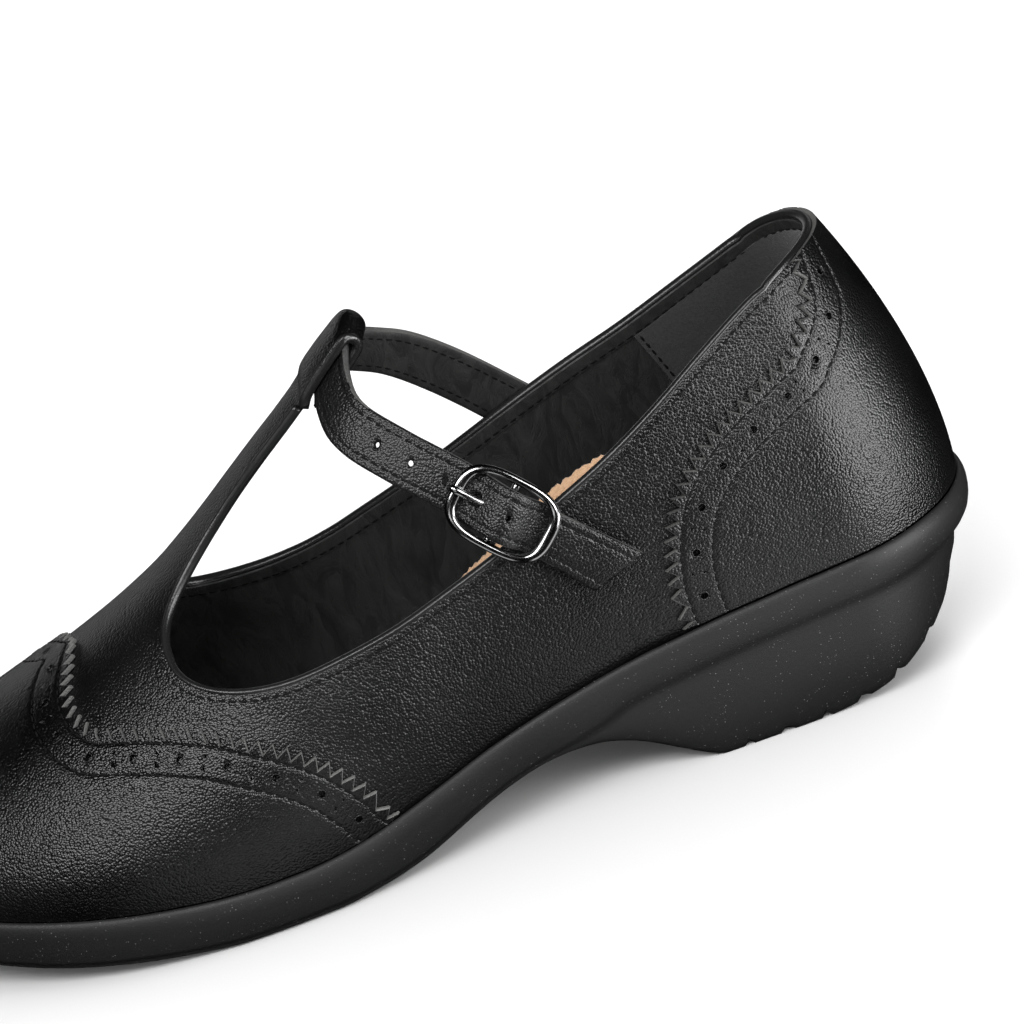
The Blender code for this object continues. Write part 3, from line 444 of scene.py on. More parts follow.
def cut(piece, cutter):
    """Punch a cutter's shapes out of a piece."""
    take(piece)
    punch = piece.modifiers.new("punch", "BOOLEAN")
    punch.operation = "DIFFERENCE"
    punch.solver = "EXACT"
    punch.object = cutter
    bpy.ops.object.modifier_apply(modifier="punch")
    discard(cutter)
    return piece


def copies(name, template, origins, axes):
    """One mesh of many copies of a small template; axes are its x, y and z directions at each place."""
    points = np.array([v.co for v in template.data.vertices])
    faces = [tuple(f.vertices) for f in template.data.polygons]
    count = len(points)
    placed = origins[:, None, :] + np.einsum("pk,nkd->npd", points, axes)
    mesh = bpy.data.meshes.new(name)
    every = [tuple(i + n * count for i in face) for n in range(len(origins)) for face in faces]
    mesh.from_pydata(((placed.reshape(-1, 3) + SHIFT) * MM).tolist(), [], every)
    mesh.polygons.foreach_set("use_smooth", [True] * len(every))
    piece = bpy.data.objects.new(name, mesh)
    bpy.context.scene.collection.objects.link(piece)
    return piece


def cover(piece, *materials):
    for material in materials:
        piece.data.materials.append(material)
    return piece


def dress(piece, materials, slot, *nodes):
    """Materials that a finished piece still needs, body, slot (not used) and the frame nodes that it stands
    for.
    """
    cover(piece, *materials)
    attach(piece, "root")
    if nodes:
        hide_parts(*nodes)
    return piece


def span_between(outer, inner, steps):
    """Straight rows from an outer line to an inner one."""
    across = np.linspace(0, 1, steps)[None, :, None]
    return outer[:, None] * (1 - across) + inner[:, None] * across


def even(points, pitch):
    """Sample numbers along a line at an even pitch, as fractional positions."""
    run = run_along(points)
    count = max(int(run[-1] / pitch), 1)
    return np.interp((np.arange(count) + 0.5) * run[-1] / count, run, np.arange(len(points)))


def pick(values, at):
    """Values of a line at fractional positions."""
    return line_at(at, np.arange(len(values)), values)


def tangents(side, place, share):
    """Rates of travel over the form along place and share."""
    step = 1e-3
    low, high = np.clip(place - step, 0, 3), np.clip(place + step, 0, 3)
    along = (section(side, high, share) - section(side, low, share)) / (high - low)[..., None]
    low, high = np.clip(share - step, 0, 1), np.clip(share + step, 0, 1)
    up = (section(side, place, high) - section(side, place, low)) / (high - low)[..., None]
    return along, up


# Settling on the form: rounds, pull towards the goal and the longest step of place and share.
SETTLE_ROUNDS, SETTLE_PULL, PLACE_STEP, SHARE_STEP = 12, 0.8, 0.1, 0.05


def settle(side, place, share, goal):
    """Place and share of the points of the form that lie under the goals."""
    for _ in range(SETTLE_ROUNDS):
        along, up = tangents(side, place, share)
        off = goal - section(side, place, share)
        aa, uu, au = (np.sum(m * n, -1) for m, n in ((along, along), (up, up), (along, up)))
        oa, ou = np.sum(off * along, -1), np.sum(off * up, -1)
        det = np.maximum(aa * uu - au * au, 1e-6)
        step = np.clip(SETTLE_PULL * (oa * uu - ou * au) / det, -PLACE_STEP, PLACE_STEP)
        place = np.clip(place + step, 0, 3)
        step = np.clip(SETTLE_PULL * (ou * aa - oa * au) / det, -SHARE_STEP, SHARE_STEP)
        share = np.clip(share + step, 0, 1)
    return place, share


def line_off(side, place, share, distances, towards):
    """In-surface offsets of a line on the form, in millimetres to the side that towards points to."""
    p = section(side, place, share)
    tangent = unit(np.gradient(p, axis=0))
    across = unit(np.cross(outward(side, place, share), tangent))
    across = across * np.where(np.sum(across * towards, axis=-1, keepdims=True) < 0, -1, 1)
    goal = p[:, None] + across[:, None] * np.asarray(distances, float)[None, :, None]
    start = np.ones(len(distances))
    return settle(side, place[:, None] * start, share[:, None] * start, goal)


# Finishes


def group(name, inputs, outputs):
    """An empty node group that takes a Vector and numbers and puts out numbers."""
    tree = bpy.data.node_groups.new(name, "ShaderNodeTree")
    tree.interface.new_socket("Vector", in_out="INPUT", socket_type="NodeSocketVector")
    for labels, way in ((inputs, "INPUT"), (outputs, "OUTPUT")):
        for label in labels:
            tree.interface.new_socket(label, in_out=way, socket_type="NodeSocketFloat")
    return tree, tree.nodes.new("NodeGroupInput").outputs, tree.nodes.new("NodeGroupOutput").inputs


def node(tree, kind, inputs=(), **settings):
    made = tree.nodes.new(kind)
    for label, value in settings.items():
        setattr(made, label, value)
    for label, value in inputs:
        if hasattr(value, "is_linked"):
            tree.links.new(value, made.inputs[label])
        else:
            made.inputs[label].default_value = value
    return made.outputs


def math_node(tree, operation, a, b=0.0, clamp=False):
    return node(tree, "ShaderNodeMath", [(0, a), (1, b)], operation=operation, use_clamp=clamp)[0]


def vector_node(tree, operation, first, label, second):
    return node(tree, "ShaderNodeVectorMath", [(0, first), (label, second)], operation=operation)[0]


def noise(tree, spot, scale, detail, **more):
    inputs = [("Vector", spot), ("Scale", scale), ("Detail", detail), *more.items()]
    return node(tree, "ShaderNodeTexNoise", inputs)


def cells(tree, spot, scale):
    return node(tree, "ShaderNodeTexVoronoi", [("Vector", spot), ("Scale", scale)], feature="F1")


# Leather's grain: scale and reach of its warp, rounding of a pebble, scale and share of the finest grain,
# and scale of the slow tone over the hide.
GRAIN_WARP, GRAIN_WARP_REACH, GRAIN_ROUND = 500.0, 0.0002, 1.7
GRAIN_FINE, GRAIN_FINE_SHARE, HIDE_TONE = 2600.0, 0.14, 38.0


def pebble_group():
    """Fine pebbled grain: height of the pebbles and a slow tone over the hide."""
    tree, start, end = group("pebble_grain", ["Scale"], ["Height", "Tone"])
    spot = start["Vector"]
    warp = noise(tree, spot, GRAIN_WARP, 1.0)["Color"]
    bend = vector_node(tree, "SUBTRACT", warp, 1, (0.5, 0.5, 0.5))
    place = vector_node(tree, "ADD", spot, 1, vector_node(tree, "SCALE", bend, "Scale", GRAIN_WARP_REACH))
    pebble = cells(tree, place, start["Scale"])["Distance"]
    rounded = math_node(tree, "SUBTRACT", 1.0, math_node(tree, "POWER", pebble, GRAIN_ROUND), True)
    fine = math_node(tree, "MULTIPLY", noise(tree, spot, GRAIN_FINE, 3.0)["Fac"], GRAIN_FINE_SHARE)
    tree.links.new(math_node(tree, "ADD", rounded, fine), end["Height"])
    tree.links.new(noise(tree, spot, HIDE_TONE, 4.0)["Fac"], end["Tone"])
    return tree


# Lining's wrinkles and their painted sheen: stretch and turn of the folds, gain and rounding of a fold's line,
# and the fine grain.
WRINKLE_STRETCH, WRINKLE_TURN = (1.0, 1.0, 0.35), (0.0, 0.6, 0.0)
WRINKLE_GAIN, WRINKLE_ROUND, WRINKLE_FINE, WRINKLE_FINE_SHARE = 4.0, 0.45, 1900.0, 0.3


def wrinkle_sheen_group():
    """Fine wrinkles of soft lining leather, and their fold noise as a tone that paints sheen along the folds.
    """
    tree, start, end = group("soft_wrinkles_painted_sheen", ["Scale"], ["Height", "Tone"])
    spot = start["Vector"]
    stretch = node(tree, "ShaderNodeMapping", [("Vector", spot), ("Scale", WRINKLE_STRETCH),
                                               ("Rotation", WRINKLE_TURN)])[0]
    fold = noise(tree, stretch, start["Scale"], 6.0, Roughness=0.62, Distortion=1.4)["Fac"]
    line = math_node(tree, "ABSOLUTE", math_node(tree, "SUBTRACT", fold, 0.5))
    sharp = math_node(tree, "POWER", math_node(tree, "MULTIPLY", line, WRINKLE_GAIN, True), WRINKLE_ROUND)
    fine = math_node(tree, "MULTIPLY", noise(tree, spot, WRINKLE_FINE, 3.0)["Fac"], WRINKLE_FINE_SHARE)
    tree.links.new(math_node(tree, "ADD", sharp, fine), end["Height"])
    # The fold noise goes out as tone; it colours the lining lighter on one side of its folds, a painted sheen.
    tree.links.new(fold, end["Tone"])
    return tree


SPECK_CHANCE = 0.5


def speck_group():
    """Tiny pale specks in moulded rubber."""
    tree, start, end = group("pale_specks", ["Scale", "Size"], ["Mask"])
    cell = cells(tree, start["Vector"], start["Scale"])
    chance = node(tree, "ShaderNodeSeparateColor", [("Color", cell["Color"])])
    reach = math_node(tree, "MULTIPLY", start["Size"], chance["Red"])
    inside = math_node(tree, "LESS_THAN", cell["Distance"], reach)
    some = math_node(tree, "GREATER_THAN", chance["Green"], SPECK_CHANCE)
    tree.links.new(math_node(tree, "MULTIPLY", inside, some), end["Mask"])
    return tree


PEBBLE, WRINKLE_AND_SHEEN, SPECK = pebble_group(), wrinkle_sheen_group(), speck_group()


def finish_base(name, **sockets):
    material = bpy.data.materials.new(name)
    material.use_nodes = True
    tree = material.node_tree
    shader = tree.nodes["Principled BSDF"]
    for label, value in sockets.items():
        shader.inputs[label.replace("_", " ")].default_value = value
    spot = tree.nodes.new("ShaderNodeTexCoord").outputs["Object"]
    return material, tree, shader, spot


def ramp(tree, fac, low, high, first, last):
    return node(tree, "ShaderNodeMapRange", [("Value", fac), ("From Min", low), ("From Max", high),
                                             ("To Min", first), ("To Max", last)])[0]


def colour_by(tree, shader, fac, dark, light):
    """Colour the surface from dark to light by a value from 0 to 1."""
    made = tree.nodes.new("ShaderNodeMix")
    made.data_type = "RGBA"
    tree.links.new(fac, made.inputs["Factor"])
    made.inputs["A"].default_value = (*dark, 1.0)
    made.inputs["B"].default_value = (*light, 1.0)
    tree.links.new(made.outputs["Result"], shader.inputs["Base Color"])


def rough_by(tree, shader, fac, low, high):
    """Roughness from low to high by a noise, which stays mostly between 0.3 and 0.7."""
    tree.links.new(ramp(tree, fac, 0.3, 0.7, low, high), shader.inputs["Roughness"])


def bump(tree, shader, height, strength, distance):
    made = node(tree, "ShaderNodeBump", [("Height", height), ("Strength", strength), ("Distance", distance)])
    tree.links.new(made[0], shader.inputs["Normal"])


def use(tree, which, spot, **values):
    made = tree.nodes.new("ShaderNodeGroup")
    made.node_tree = which
    tree.links.new(spot, made.inputs["Vector"])
    for label, value in values.items():
        made.inputs[label].default_value = value
    return made.outputs


def leather(name, dark, light, rough, grain, depth):
    material, tree, shader, spot = finish_base(name, Specular_IOR_Level=0.5)
    out = use(tree, PEBBLE, spot, Scale=grain)
    colour_by(tree, shader, ramp(tree, out["Tone"], 0.35, 0.65, 0.0, 1.0), dark, light)
    rough_by(tree, shader, out["Tone"], rough - 0.04, rough + 0.05)
    bump(tree, shader, out["Height"], 0.6, depth)
    return material


def lining_leather(name, dark, light, rough, scale, strength):
    material, tree, shader, spot = finish_base(name, Specular_IOR_Level=0.4)
    out = use(tree, WRINKLE_AND_SHEEN, spot, Scale=scale)
    # Colour follows the wrinkles' folds, lighter on one side of each: painted sheen on the lining.
    colour_by(tree, shader, ramp(tree, out["Tone"], 0.3, 0.7, 0.0, 1.0), dark, light)
    rough_by(tree, shader, out["Tone"], rough - 0.06, rough + 0.06)
    bump(tree, shader, out["Height"], strength, 0.0003)
    return material


def suede(name, dark, light, scale):
    material, tree, shader, spot = finish_base(name, Roughness=0.92, Specular_IOR_Level=0.2, Sheen_Weight=0.25,
                                               Sheen_Roughness=0.5)
    nap = noise(tree, spot, scale, 6.0, Roughness=0.7)["Fac"]
    colour_by(tree, shader, ramp(tree, nap, 0.32, 0.68, 0.0, 1.0), dark, light)
    bump(tree, shader, nap, 0.6, 0.0004)
    return material


def moulded_rubber(name):
    material, tree, shader, spot = finish_base(name, Specular_IOR_Level=0.4)
    mask = use(tree, SPECK, spot, Scale=1650.0, Size=0.20)["Mask"]
    colour_by(tree, shader, mask, (0.008, 0.008, 0.0083), (0.08, 0.08, 0.078))
    skin = noise(tree, spot, 1500.0, 4.0, Roughness=0.6)["Fac"]
    rough_by(tree, shader, noise(tree, spot, 30.0, 3.0)["Fac"], 0.47, 0.58)
    bump(tree, shader, skin, 0.25, 0.0002)
    return material


def gunmetal(name):
    material, tree, shader, spot = finish_base(name, Metallic=1.0)
    film = noise(tree, spot, 260.0, 4.0)["Fac"]
    colour_by(tree, shader, film, (0.34, 0.34, 0.345), (0.44, 0.44, 0.445))
    rough_by(tree, shader, film, 0.12, 0.2)
    return material


def thread(name):
    material, tree, shader, spot = finish_base(name, Specular_IOR_Level=0.12)
    ply = noise(tree, spot, 3500.0, 2.0)["Fac"]
    colour_by(tree, shader, ply, (0.002, 0.002, 0.002), (0.006, 0.006, 0.006))
    rough_by(tree, shader, ply, 0.75, 0.9)
    bump(tree, shader, ply, 0.4, 0.0002)
    return material


# Dark and light tone, roughness, scale of the grain and its depth in metres.
HIDE = ((0.0012, 0.0012, 0.0013), (0.003, 0.003, 0.0031), 0.29, 1950.0, 0.00024)
BLACK = leather("black_leather", *HIDE)
OVERLAY = leather("overlay_leather", *HIDE)
STRAP_SKIN = leather("strap_leather", (0.0025, 0.0025, 0.0026), (0.005, 0.005, 0.0052), 0.31, 1950.0, 0.00024)
BEAD = leather("bead_leather", (0.006, 0.006, 0.0063), (0.009, 0.009, 0.0093), 0.27, 2100.0, 0.00004)
# The cap's cut edge is the counter's cut edge made lighter: the raw edge's own colour plus a painted highlight
# on the cap's teeth.
CAP_CUT_EDGE_PAINTED_LIGHT = leather("cap_cut_edge_painted_light", (0.055, 0.055, 0.054), (0.11, 0.109, 0.106), 0.6, 2600.0, 0.0003)
CUT_EDGE = leather("cut_edge", (0.03, 0.03, 0.0295), (0.07, 0.069, 0.067), 0.6, 2600.0, 0.0003)
# Lining's dark and light tone are laid along its wrinkles' folds: painted sheen.
LINING = lining_leather("lining_leather", (0.012, 0.012, 0.012), (0.027, 0.027, 0.0265), 0.5, 230.0, 0.55)
GRIP = suede("heel_grip_suede", (0.014, 0.014, 0.014), (0.034, 0.034, 0.034), 1700.0)
TAN = suede("tan_footbed", (0.56, 0.34, 0.20), (0.74, 0.48, 0.30), 1300.0)
RUBBER = moulded_rubber("black_rubber")
METAL = gunmetal("gunmetal")
THREAD = thread("black_thread")


# Sole

# Station where the heel's block ends and the length it fades over; rounding of the back's insets; the block
# begins this far under the band.
BLOCK_END, BLOCK_FADE, BACK_ROUND, BLOCK_UNDER = 106.0, 26.0, 1.5, 1.5
# Rows down the sole's wall. Lip: inset and drop below the lip. Band: insets at the sides and at the back,
# height over the tread in front and over the band's foot at the heel. Block: the same insets and height in
# front, then the share of the block's height.
LIP_ROWS = [(3.6, TRAY_DEPTH), (2.9, TRAY_DEPTH), (2.62, 1.8), (2.3, 1.35), (1.95, 0.75), (1.65, 0.28),
            (1.4, 0.06), (1.15, 0.0), (0.7, 0.3), (0.3, 0.95), (0.06, 1.9), (0.0, 2.9), (0.1, 4.2), (0.36, 5.6)]
BAND_ROWS = [(0.7, 0.9, 3.0, 1.9), (1.1, 1.7, 2.3, 0.9), (1.6, 2.9, 1.75, 0.1), (1.95, 4.0, 1.4, -0.7),
             (2.1, 4.7, 1.1, -1.5)]
BLOCK_ROWS = [(2.15, 5.1, 0.9, 0.92), (2.2, 5.9, 0.7, 0.66), (2.4, 7.6, 0.5, 0.4), (2.7, 8.4, 0.35, 0.22),
              (3.1, 9.2, 0.2, 0.1), (3.6, 10.1, 0.1, 0.035), (4.2, 11.2, 0.0, 0.0)]


def heel_part(s_rim):
    """1 under the heel's block, 0 where band and tread are one."""
    share = np.clip((BLOCK_END - s_rim) / BLOCK_FADE, 0, 1)
    return share ** 2 * (3 - 2 * share)


def sole_ring(side, place, inset_side, inset_back, height):
    back = np.cos(np.clip(place, 0, 1) * math.pi / 2) ** BACK_ROUND
    s, y = outline_in(side, place, inset_side + (inset_back - inset_side) * back)
    rim_s, _ = outline(side, place)
    return np.stack([s, y, height(rim_s)], -1)


def sole_wall(side, place):
    """Rows of points from the tray to the tread."""
    def lower(fore, heel_height):
        return lambda s: (tread(s) + fore) * (1 - heel_part(s)) + heel_height(s) * heel_part(s)

    def band(over):
        return lambda s: lip(s) - BAND_HEIGHT + over

    def block(share):
        return lambda s: tread(s) + share * (lip(s) - BAND_HEIGHT - BLOCK_UNDER - tread(s))

    rows = [(inset, inset, lambda s, d=drop: lip(s) - d) for inset, drop in LIP_ROWS]
    rows += [(inset, back, lower(fore, band(over))) for inset, back, fore, over in BAND_ROWS]
    rows += [(inset, back, lower(fore, block(share))) for inset, back, fore, share in BLOCK_ROWS]
    return np.stack([sole_ring(side, place, *row) for row in rows], 1)


# Tread's grooves: pitch, depth, width and flatness of the floor, then depth, length and reach of their wave.
TREAD_PITCH, TREAD_DEEP, TREAD_WIDE, TREAD_FLAT = 8.6, 1.3, 1.5, 1.4
WAVE_DEEP, WAVE_LONG, WAVE_REACH = 2.2, 7.0, 60
# Stations where the grooves end under the heel and begin under the forefoot, with the lengths they fade over.
HEEL_TREAD, FORE_TREAD = (64, 4), (142, 6)
# Rows of the wall that a groove cuts into and the share of its depth there.
GROOVED_ROWS = [(-1, 1.0), (-2, 0.75), (-3, 0.3)]
SOLE_STEPS, BOTTOM_STEPS = (41, 140, 61), 41


def tread_groove(s, y):
    """Depth of the wavy cross grooves under heel and forefoot."""
    wave = s + WAVE_DEEP * np.cos(y / WAVE_LONG) * np.clip(1 - np.abs(y) / WAVE_REACH, 0, 1)
    off = np.abs((wave + TREAD_PITCH / 2) % TREAD_PITCH - TREAD_PITCH / 2)
    groove = np.clip(TREAD_FLAT - off / (TREAD_WIDE / 2), 0, 1)
    heel = np.clip((HEEL_TREAD[0] - s) / HEEL_TREAD[1], 0, 1)
    fore = np.clip((s - FORE_TREAD[0]) / FORE_TREAD[1], 0, 1)
    return TREAD_DEEP * groove * np.clip(heel + fore, 0, 1)


def make_sole():
    places = round_foot(*SOLE_STEPS)
    walls = {side: sole_wall(side, places) for side in SIDES}
    bottom = span_between(walls[OUTER][:, -1], walls[INNER][:, -1], BOTTOM_STEPS)
    bottom[..., 2] += tread_groove(bottom[..., 0], bottom[..., 1])
    for side in walls:
        cut_in = tread_groove(walls[side][:, -1, 0], walls[side][:, -1, 1])
        for row, share in GROOVED_ROWS:
            walls[side][:, row, 2] += cut_in * share
    floor = span_between(walls[OUTER][:, 0], walls[INNER][:, 0], BOTTOM_STEPS)
    grids = [walls[OUTER], walls[INNER][::-1], bottom, floor[::-1]]
    piece = join("sole_unit", [lasted("sole_part", g) for g in grids])
    merge(piece, 0.02, outside=True)
    return dress(piece, [RUBBER], "sole_rubber", "sole")


# Upper

# Soft creases of the leather: side, two ends as place and share, depth and width in millimetres.
CREASES = [(OUTER, 1.73, 0.30, 1.84, 0.52, 0.35, 3.6), (OUTER, 1.66, 0.12, 1.74, 0.34, 0.25, 4.2),
           (OUTER, 1.80, 0.14, 1.90, 0.40, 0.22, 4.5), (INNER, 1.74, 0.28, 1.86, 0.54, 0.40, 3.8),
           (INNER, 1.66, 0.15, 1.78, 0.38, 0.30, 4.4), (OUTER, 1.30, 0.05, 1.22, 0.22, 0.18, 4.0),
           (INNER, 1.50, 0.10, 1.56, 0.30, 0.25, 4.6)]
# Part of a crease's length over which it rises from its ends.
CREASE_RISE = 0.08


def crease_depth(side, place, share):
    """How far the soft creases sink the leather."""
    total = np.zeros(np.broadcast(place, share).shape)
    p = section(side, place, share)
    for where, w0, t0, w1, t1, deep, wide in CREASES:
        if where != side:
            continue
        a, b = section(side, w0, t0), section(side, w1, t1)
        along = b - a
        q = np.clip(((p - a) @ along) / (along @ along), 0, 1)
        off = np.linalg.norm(p - (a + q[..., None] * along), axis=-1)
        fade = np.sin(math.pi * np.clip(q, CREASE_RISE, 1 - CREASE_RISE))
        total = total + deep * np.exp(-(off / wide) ** 2) * fade
    return total


def face_of_upper(side, place, share):
    return off_section(side, place, share, -crease_depth(side, place, share))


HEEL_STEPS, QUARTER_STEPS, WINDOW_STEPS, VAMP_STEPS, TOE_STEPS = 29, 36, 34, 11, 33


def upper_places():
    """Places round the upper, closer together towards the throat, with the steps at neck and throat."""
    heel = np.linspace(0, 1, HEEL_STEPS)[:-1]
    quarter = place_of(np.linspace(HEEL_ROUND, BAR_NECK, QUARTER_STEPS))
    ease = 1 - np.linspace(0, 1, WINDOW_STEPS)[1:] ** 0.5
    window = place_of(THROAT - (THROAT - BAR_NECK) * ease)
    vamp = place_of(np.linspace(THROAT, TOE_START - TOE_SHY, VAMP_STEPS)[1:])
    toe = 2 + np.linspace(0, 1, TOE_STEPS)
    places = np.concatenate([heel, quarter, window, vamp, toe])
    neck = len(heel) + len(quarter) - 1
    return places, neck, neck + len(window)


PLACES, NECK, THROAT_AT = upper_places()


def topline(side):
    """Shares of the topline and of the T-bar's edge at each place; they meet at the throat."""
    low, high = collar_share(side, PLACES), bar_share(side, PLACES)
    split = np.linspace((low[THROAT_AT] + high[THROAT_AT]) / 2, VAMP_SPLIT, len(PLACES) - THROAT_AT)
    low[THROAT_AT:] = split
    high[THROAT_AT:] = split
    return low, high


TOPLINE = {side: topline(side) for side in SIDES}
LOW_ROWS, BAR_ROWS = 30, 12
# Rows of the strap's table that the loop takes in, and steps along its fold.
LOOP_REACH, LOOP_ROWS, LOOP_STEPS = 1.3, 131, 61


def loop_points(columns, inward=0.0):
    """The T-bar's end folded round the strap: grid of (along the fold, across)."""
    middle, across, _, normal = strap_at(np.linspace(-LOOP_REACH, LOOP_REACH, LOOP_ROWS))
    fold = np.array(LOOP)
    fine = np.linspace(0, len(fold) - 1, LOOP_STEPS)
    i = np.clip(fine.astype(int), 0, len(fold) - 2)
    path = cubic(fold, np.gradient(fold, axis=0), i, 1.0, (fine - i)[:, None])
    path = path + inward * (unit(np.gradient(path, axis=0)) @ np.array([[0.0, -1.0], [1.0, 0.0]]))
    grid = []
    for y in columns:
        m, a, n = (line_at(y, middle[:, 1], v) for v in (middle, across, normal))
        grid.append(m + path[:, :1] * a + path[:, 1:] * n)
    return np.stack(grid, 1)


def make_upper():
    grids = []
    ends = {}
    for side in SIDES:
        low, high = TOPLINE[side]
        share = np.linspace(0, 1, LOW_ROWS + 1)[None, :] * low[:, None]
        sheet = face_of_upper(side, np.repeat(PLACES[:, None], LOW_ROWS + 1, 1), share)
        bar = high[NECK:, None] + (1 - high[NECK:, None]) * np.linspace(0, 1, BAR_ROWS + 1)[None, :]
        top = face_of_upper(side, np.repeat(PLACES[NECK:, None], BAR_ROWS + 1, 1), bar)
        top[:, -1] = section(OUTER, PLACES[NECK:], np.ones(len(PLACES) - NECK))
        top[THROAT_AT - NECK:, 0] = sheet[THROAT_AT:, -1]
        ends[side] = top[0]
        grids += [g[::-1] if side == OUTER else g for g in (sheet, top)]
    first = np.concatenate([ends[OUTER], ends[INNER][-2::-1]])
    columns = np.linspace(BAR_HALF, -BAR_HALF, len(first))
    grids.append(np.concatenate([first[None], loop_points(columns)]))
    piece = join("upper_leather", [lasted("upper_part", g) for g in grids])
    merge(piece)
    cover(piece, BLACK, LINING, BEAD)
    wall(piece, WALL, -1.0, 1, 2)
    return dress(piece, [], "upper_leather", "upper")


# Steps along the rim, half the steps that soften it, and a step on the topline that tells its two sides.
RIM_STEPS, RIM_SOFT, RIM_PROBE = 260, 4, 150


def rim_line(side):
    """The opening's rim on one side, from the T-bar's neck round the throat and back along the topline."""
    low, high = TOPLINE[side]
    bar = np.stack([PLACES[NECK:THROAT_AT], high[NECK:THROAT_AT]], -1)
    top = np.stack([PLACES[:THROAT_AT + 1], low[:THROAT_AT + 1]], -1)[::-1]
    line = np.concatenate([bar, top])
    run = run_along(section(side, line[:, 0], line[:, 1]))
    place, share = line_at(np.linspace(0, run[-1], RIM_STEPS), run, line).T.copy()
    weights = np.exp(-np.linspace(-2, 2, 2 * RIM_SOFT + 1) ** 2)
    weights /= weights.sum()
    inside = slice(RIM_SOFT, -RIM_SOFT)
    for values in (place, share):
        padded = np.pad(values, RIM_SOFT, mode="edge")
        values[inside] = np.convolve(padded, weights, "valid")[inside]
    return place, share


def rim_frames(side):
    """Points of the rim with the directions into the leather and outwards."""
    place, share = rim_line(side)
    p, normal = section(side, place, share), outward(side, place, share)
    into = side * unit(np.cross(unit(np.gradient(p, axis=0)), normal))
    below = section(side, place[RIM_PROBE], share[RIM_PROBE] - 0.02) - p[RIM_PROBE]
    return p, into if below @ into[RIM_PROBE] >= 0 else -into, normal


RIM = {side: rim_frames(side) for side in SIDES}


def capped(rings, line):
    """Rings along a line, closed to a point at both ends."""
    start, end = (np.repeat(line[[k]][:, None], rings.shape[1], 1) for k in (0, -1))
    return np.concatenate([start, rings, end])


def tube(points, first, second, wide, high, sides=12):
    """Grid of a round roll along a line, closed at both ends."""
    angle = np.linspace(0, 2 * math.pi, sides + 1)
    ring = points[:, None] + wide * np.cos(angle)[None, :, None] * first[:, None]
    return capped(ring + high * np.sin(angle)[None, :, None] * second[:, None], points)


# Bead: how far its middle lies in from the rim, how far it stands proud, its half height; the same at the loop.
BEAD_IN, BEAD_PROUD, BEAD_HIGH = 0.35, 0.16, 0.85
LOOP_BEAD_IN, LOOP_BEAD_HIGH = 0.3, 0.8


def make_bead():
    """Shiny roll of leather along the whole rim and the loop's edges."""
    lines = []
    for side in SIDES:
        p, into, normal = RIM[side]
        lines.append((p - normal * (WALL / 2) + into * BEAD_IN, normal, into))
    p, n, b = (np.concatenate([outer, inner[-2::-1]]) for outer, inner in zip(*lines))
    parts = [lasted("bead_part", tube(p, n, b, WALL / 2 + BEAD_PROUD, BEAD_HIGH))]
    for side in SIDES:
        edge = loop_points([side * (BAR_HALF - LOOP_BEAD_IN)], WALL / 2)[:, 0]
        width = np.repeat([[0.0, 1.0, 0.0]], len(edge), 0)
        depth = unit(np.cross(np.gradient(edge, axis=0), width))
        parts.append(lasted("bead_part", tube(edge, depth, width, WALL / 2 + BEAD_PROUD, LOOP_BEAD_HIGH)))
    for part in parts:
        merge(part, 0.005, outside=True)
    return dress(join("topline_bead", parts), [BEAD], "upper_leather")


def stitch_template():
    """One stitch, a small rounded bead of thread of unit length."""
    deselect()
    bpy.ops.mesh.primitive_uv_sphere_add(segments=6, ring_count=5, radius=0.5, rotation=(0, math.pi / 2, 0))
    bpy.ops.object.transform_apply(location=True, rotation=True, scale=True)
    return bpy.context.object


STITCH = stitch_template()
STITCH_LONG, STITCH_WIDE, STITCH_HIGH, STITCH_PITCH = 1.75, 0.52, 0.3, 2.3


def stitches(points, normals):
    """Places and axes of the stitches along a line."""
    at = even(points, STITCH_PITCH)
    travel = unit(pick(unit(np.gradient(points, axis=0)), at))
    normal = unit(pick(normals, at))
    across = unit(np.cross(normal, travel))
    return pick(points, at), np.stack([travel * STITCH_LONG, across * STITCH_WIDE, normal * STITCH_HIGH], 1)


def sew(name, lines, slot):
    """One piece of thread work from several lines of (points, normals)."""
    places, axes = (np.concatenate(v) for v in zip(*(stitches(p, n) for p, n in lines)))
    return dress(copies(name, STITCH, places, axes), [THREAD], slot)


# Seams along the rim, outside and inside: distance into the leather, lift, first step past the T-bar, facing.
RIM_SEAMS = [(2.2, 0.05, 64, 1), (3.4, -WALL - 0.42, 70, -1)]
# Inner binding: distance into the leather and depth under the outer face, and its thickness.
BINDING_ROWS = [(0.4, WALL + 0.05), (0.7, WALL + 0.38), (2.2, WALL + 0.42), (4.0, WALL + 0.36),
                (4.3, WALL - 0.1)]
BINDING_THICK = 0.25


def make_topline_stitching():
    lines = []
    for side in SIDES:
        p, into, normal = RIM[side]
        for distance, lift, first, face in RIM_SEAMS:
            line = p + into * distance + normal * lift
            lines.append((line[first:], face * normal[first:]))
    return sew("topline_stitching", lines, "upper_leather")


def make_inner_binding():
    """Turned band of leather along the inside of the rim."""
    sheets = []
    for side in SIDES:
        p, into, normal = RIM[side]
        grid = np.stack([p + into * d - normal * off for d, off in BINDING_ROWS], 1)
        sheets.append(grid[::-1] if side == OUTER else grid)
    piece = join("inner_binding", [lasted("binding_part", g) for g in sheets])
    merge(piece, 0.005)
    wall(piece, BINDING_THICK, 1.0)
    crisp(piece)
    return dress(piece, [LINING], "upper_leather")


# Overlays: wing toe cap and heel counter

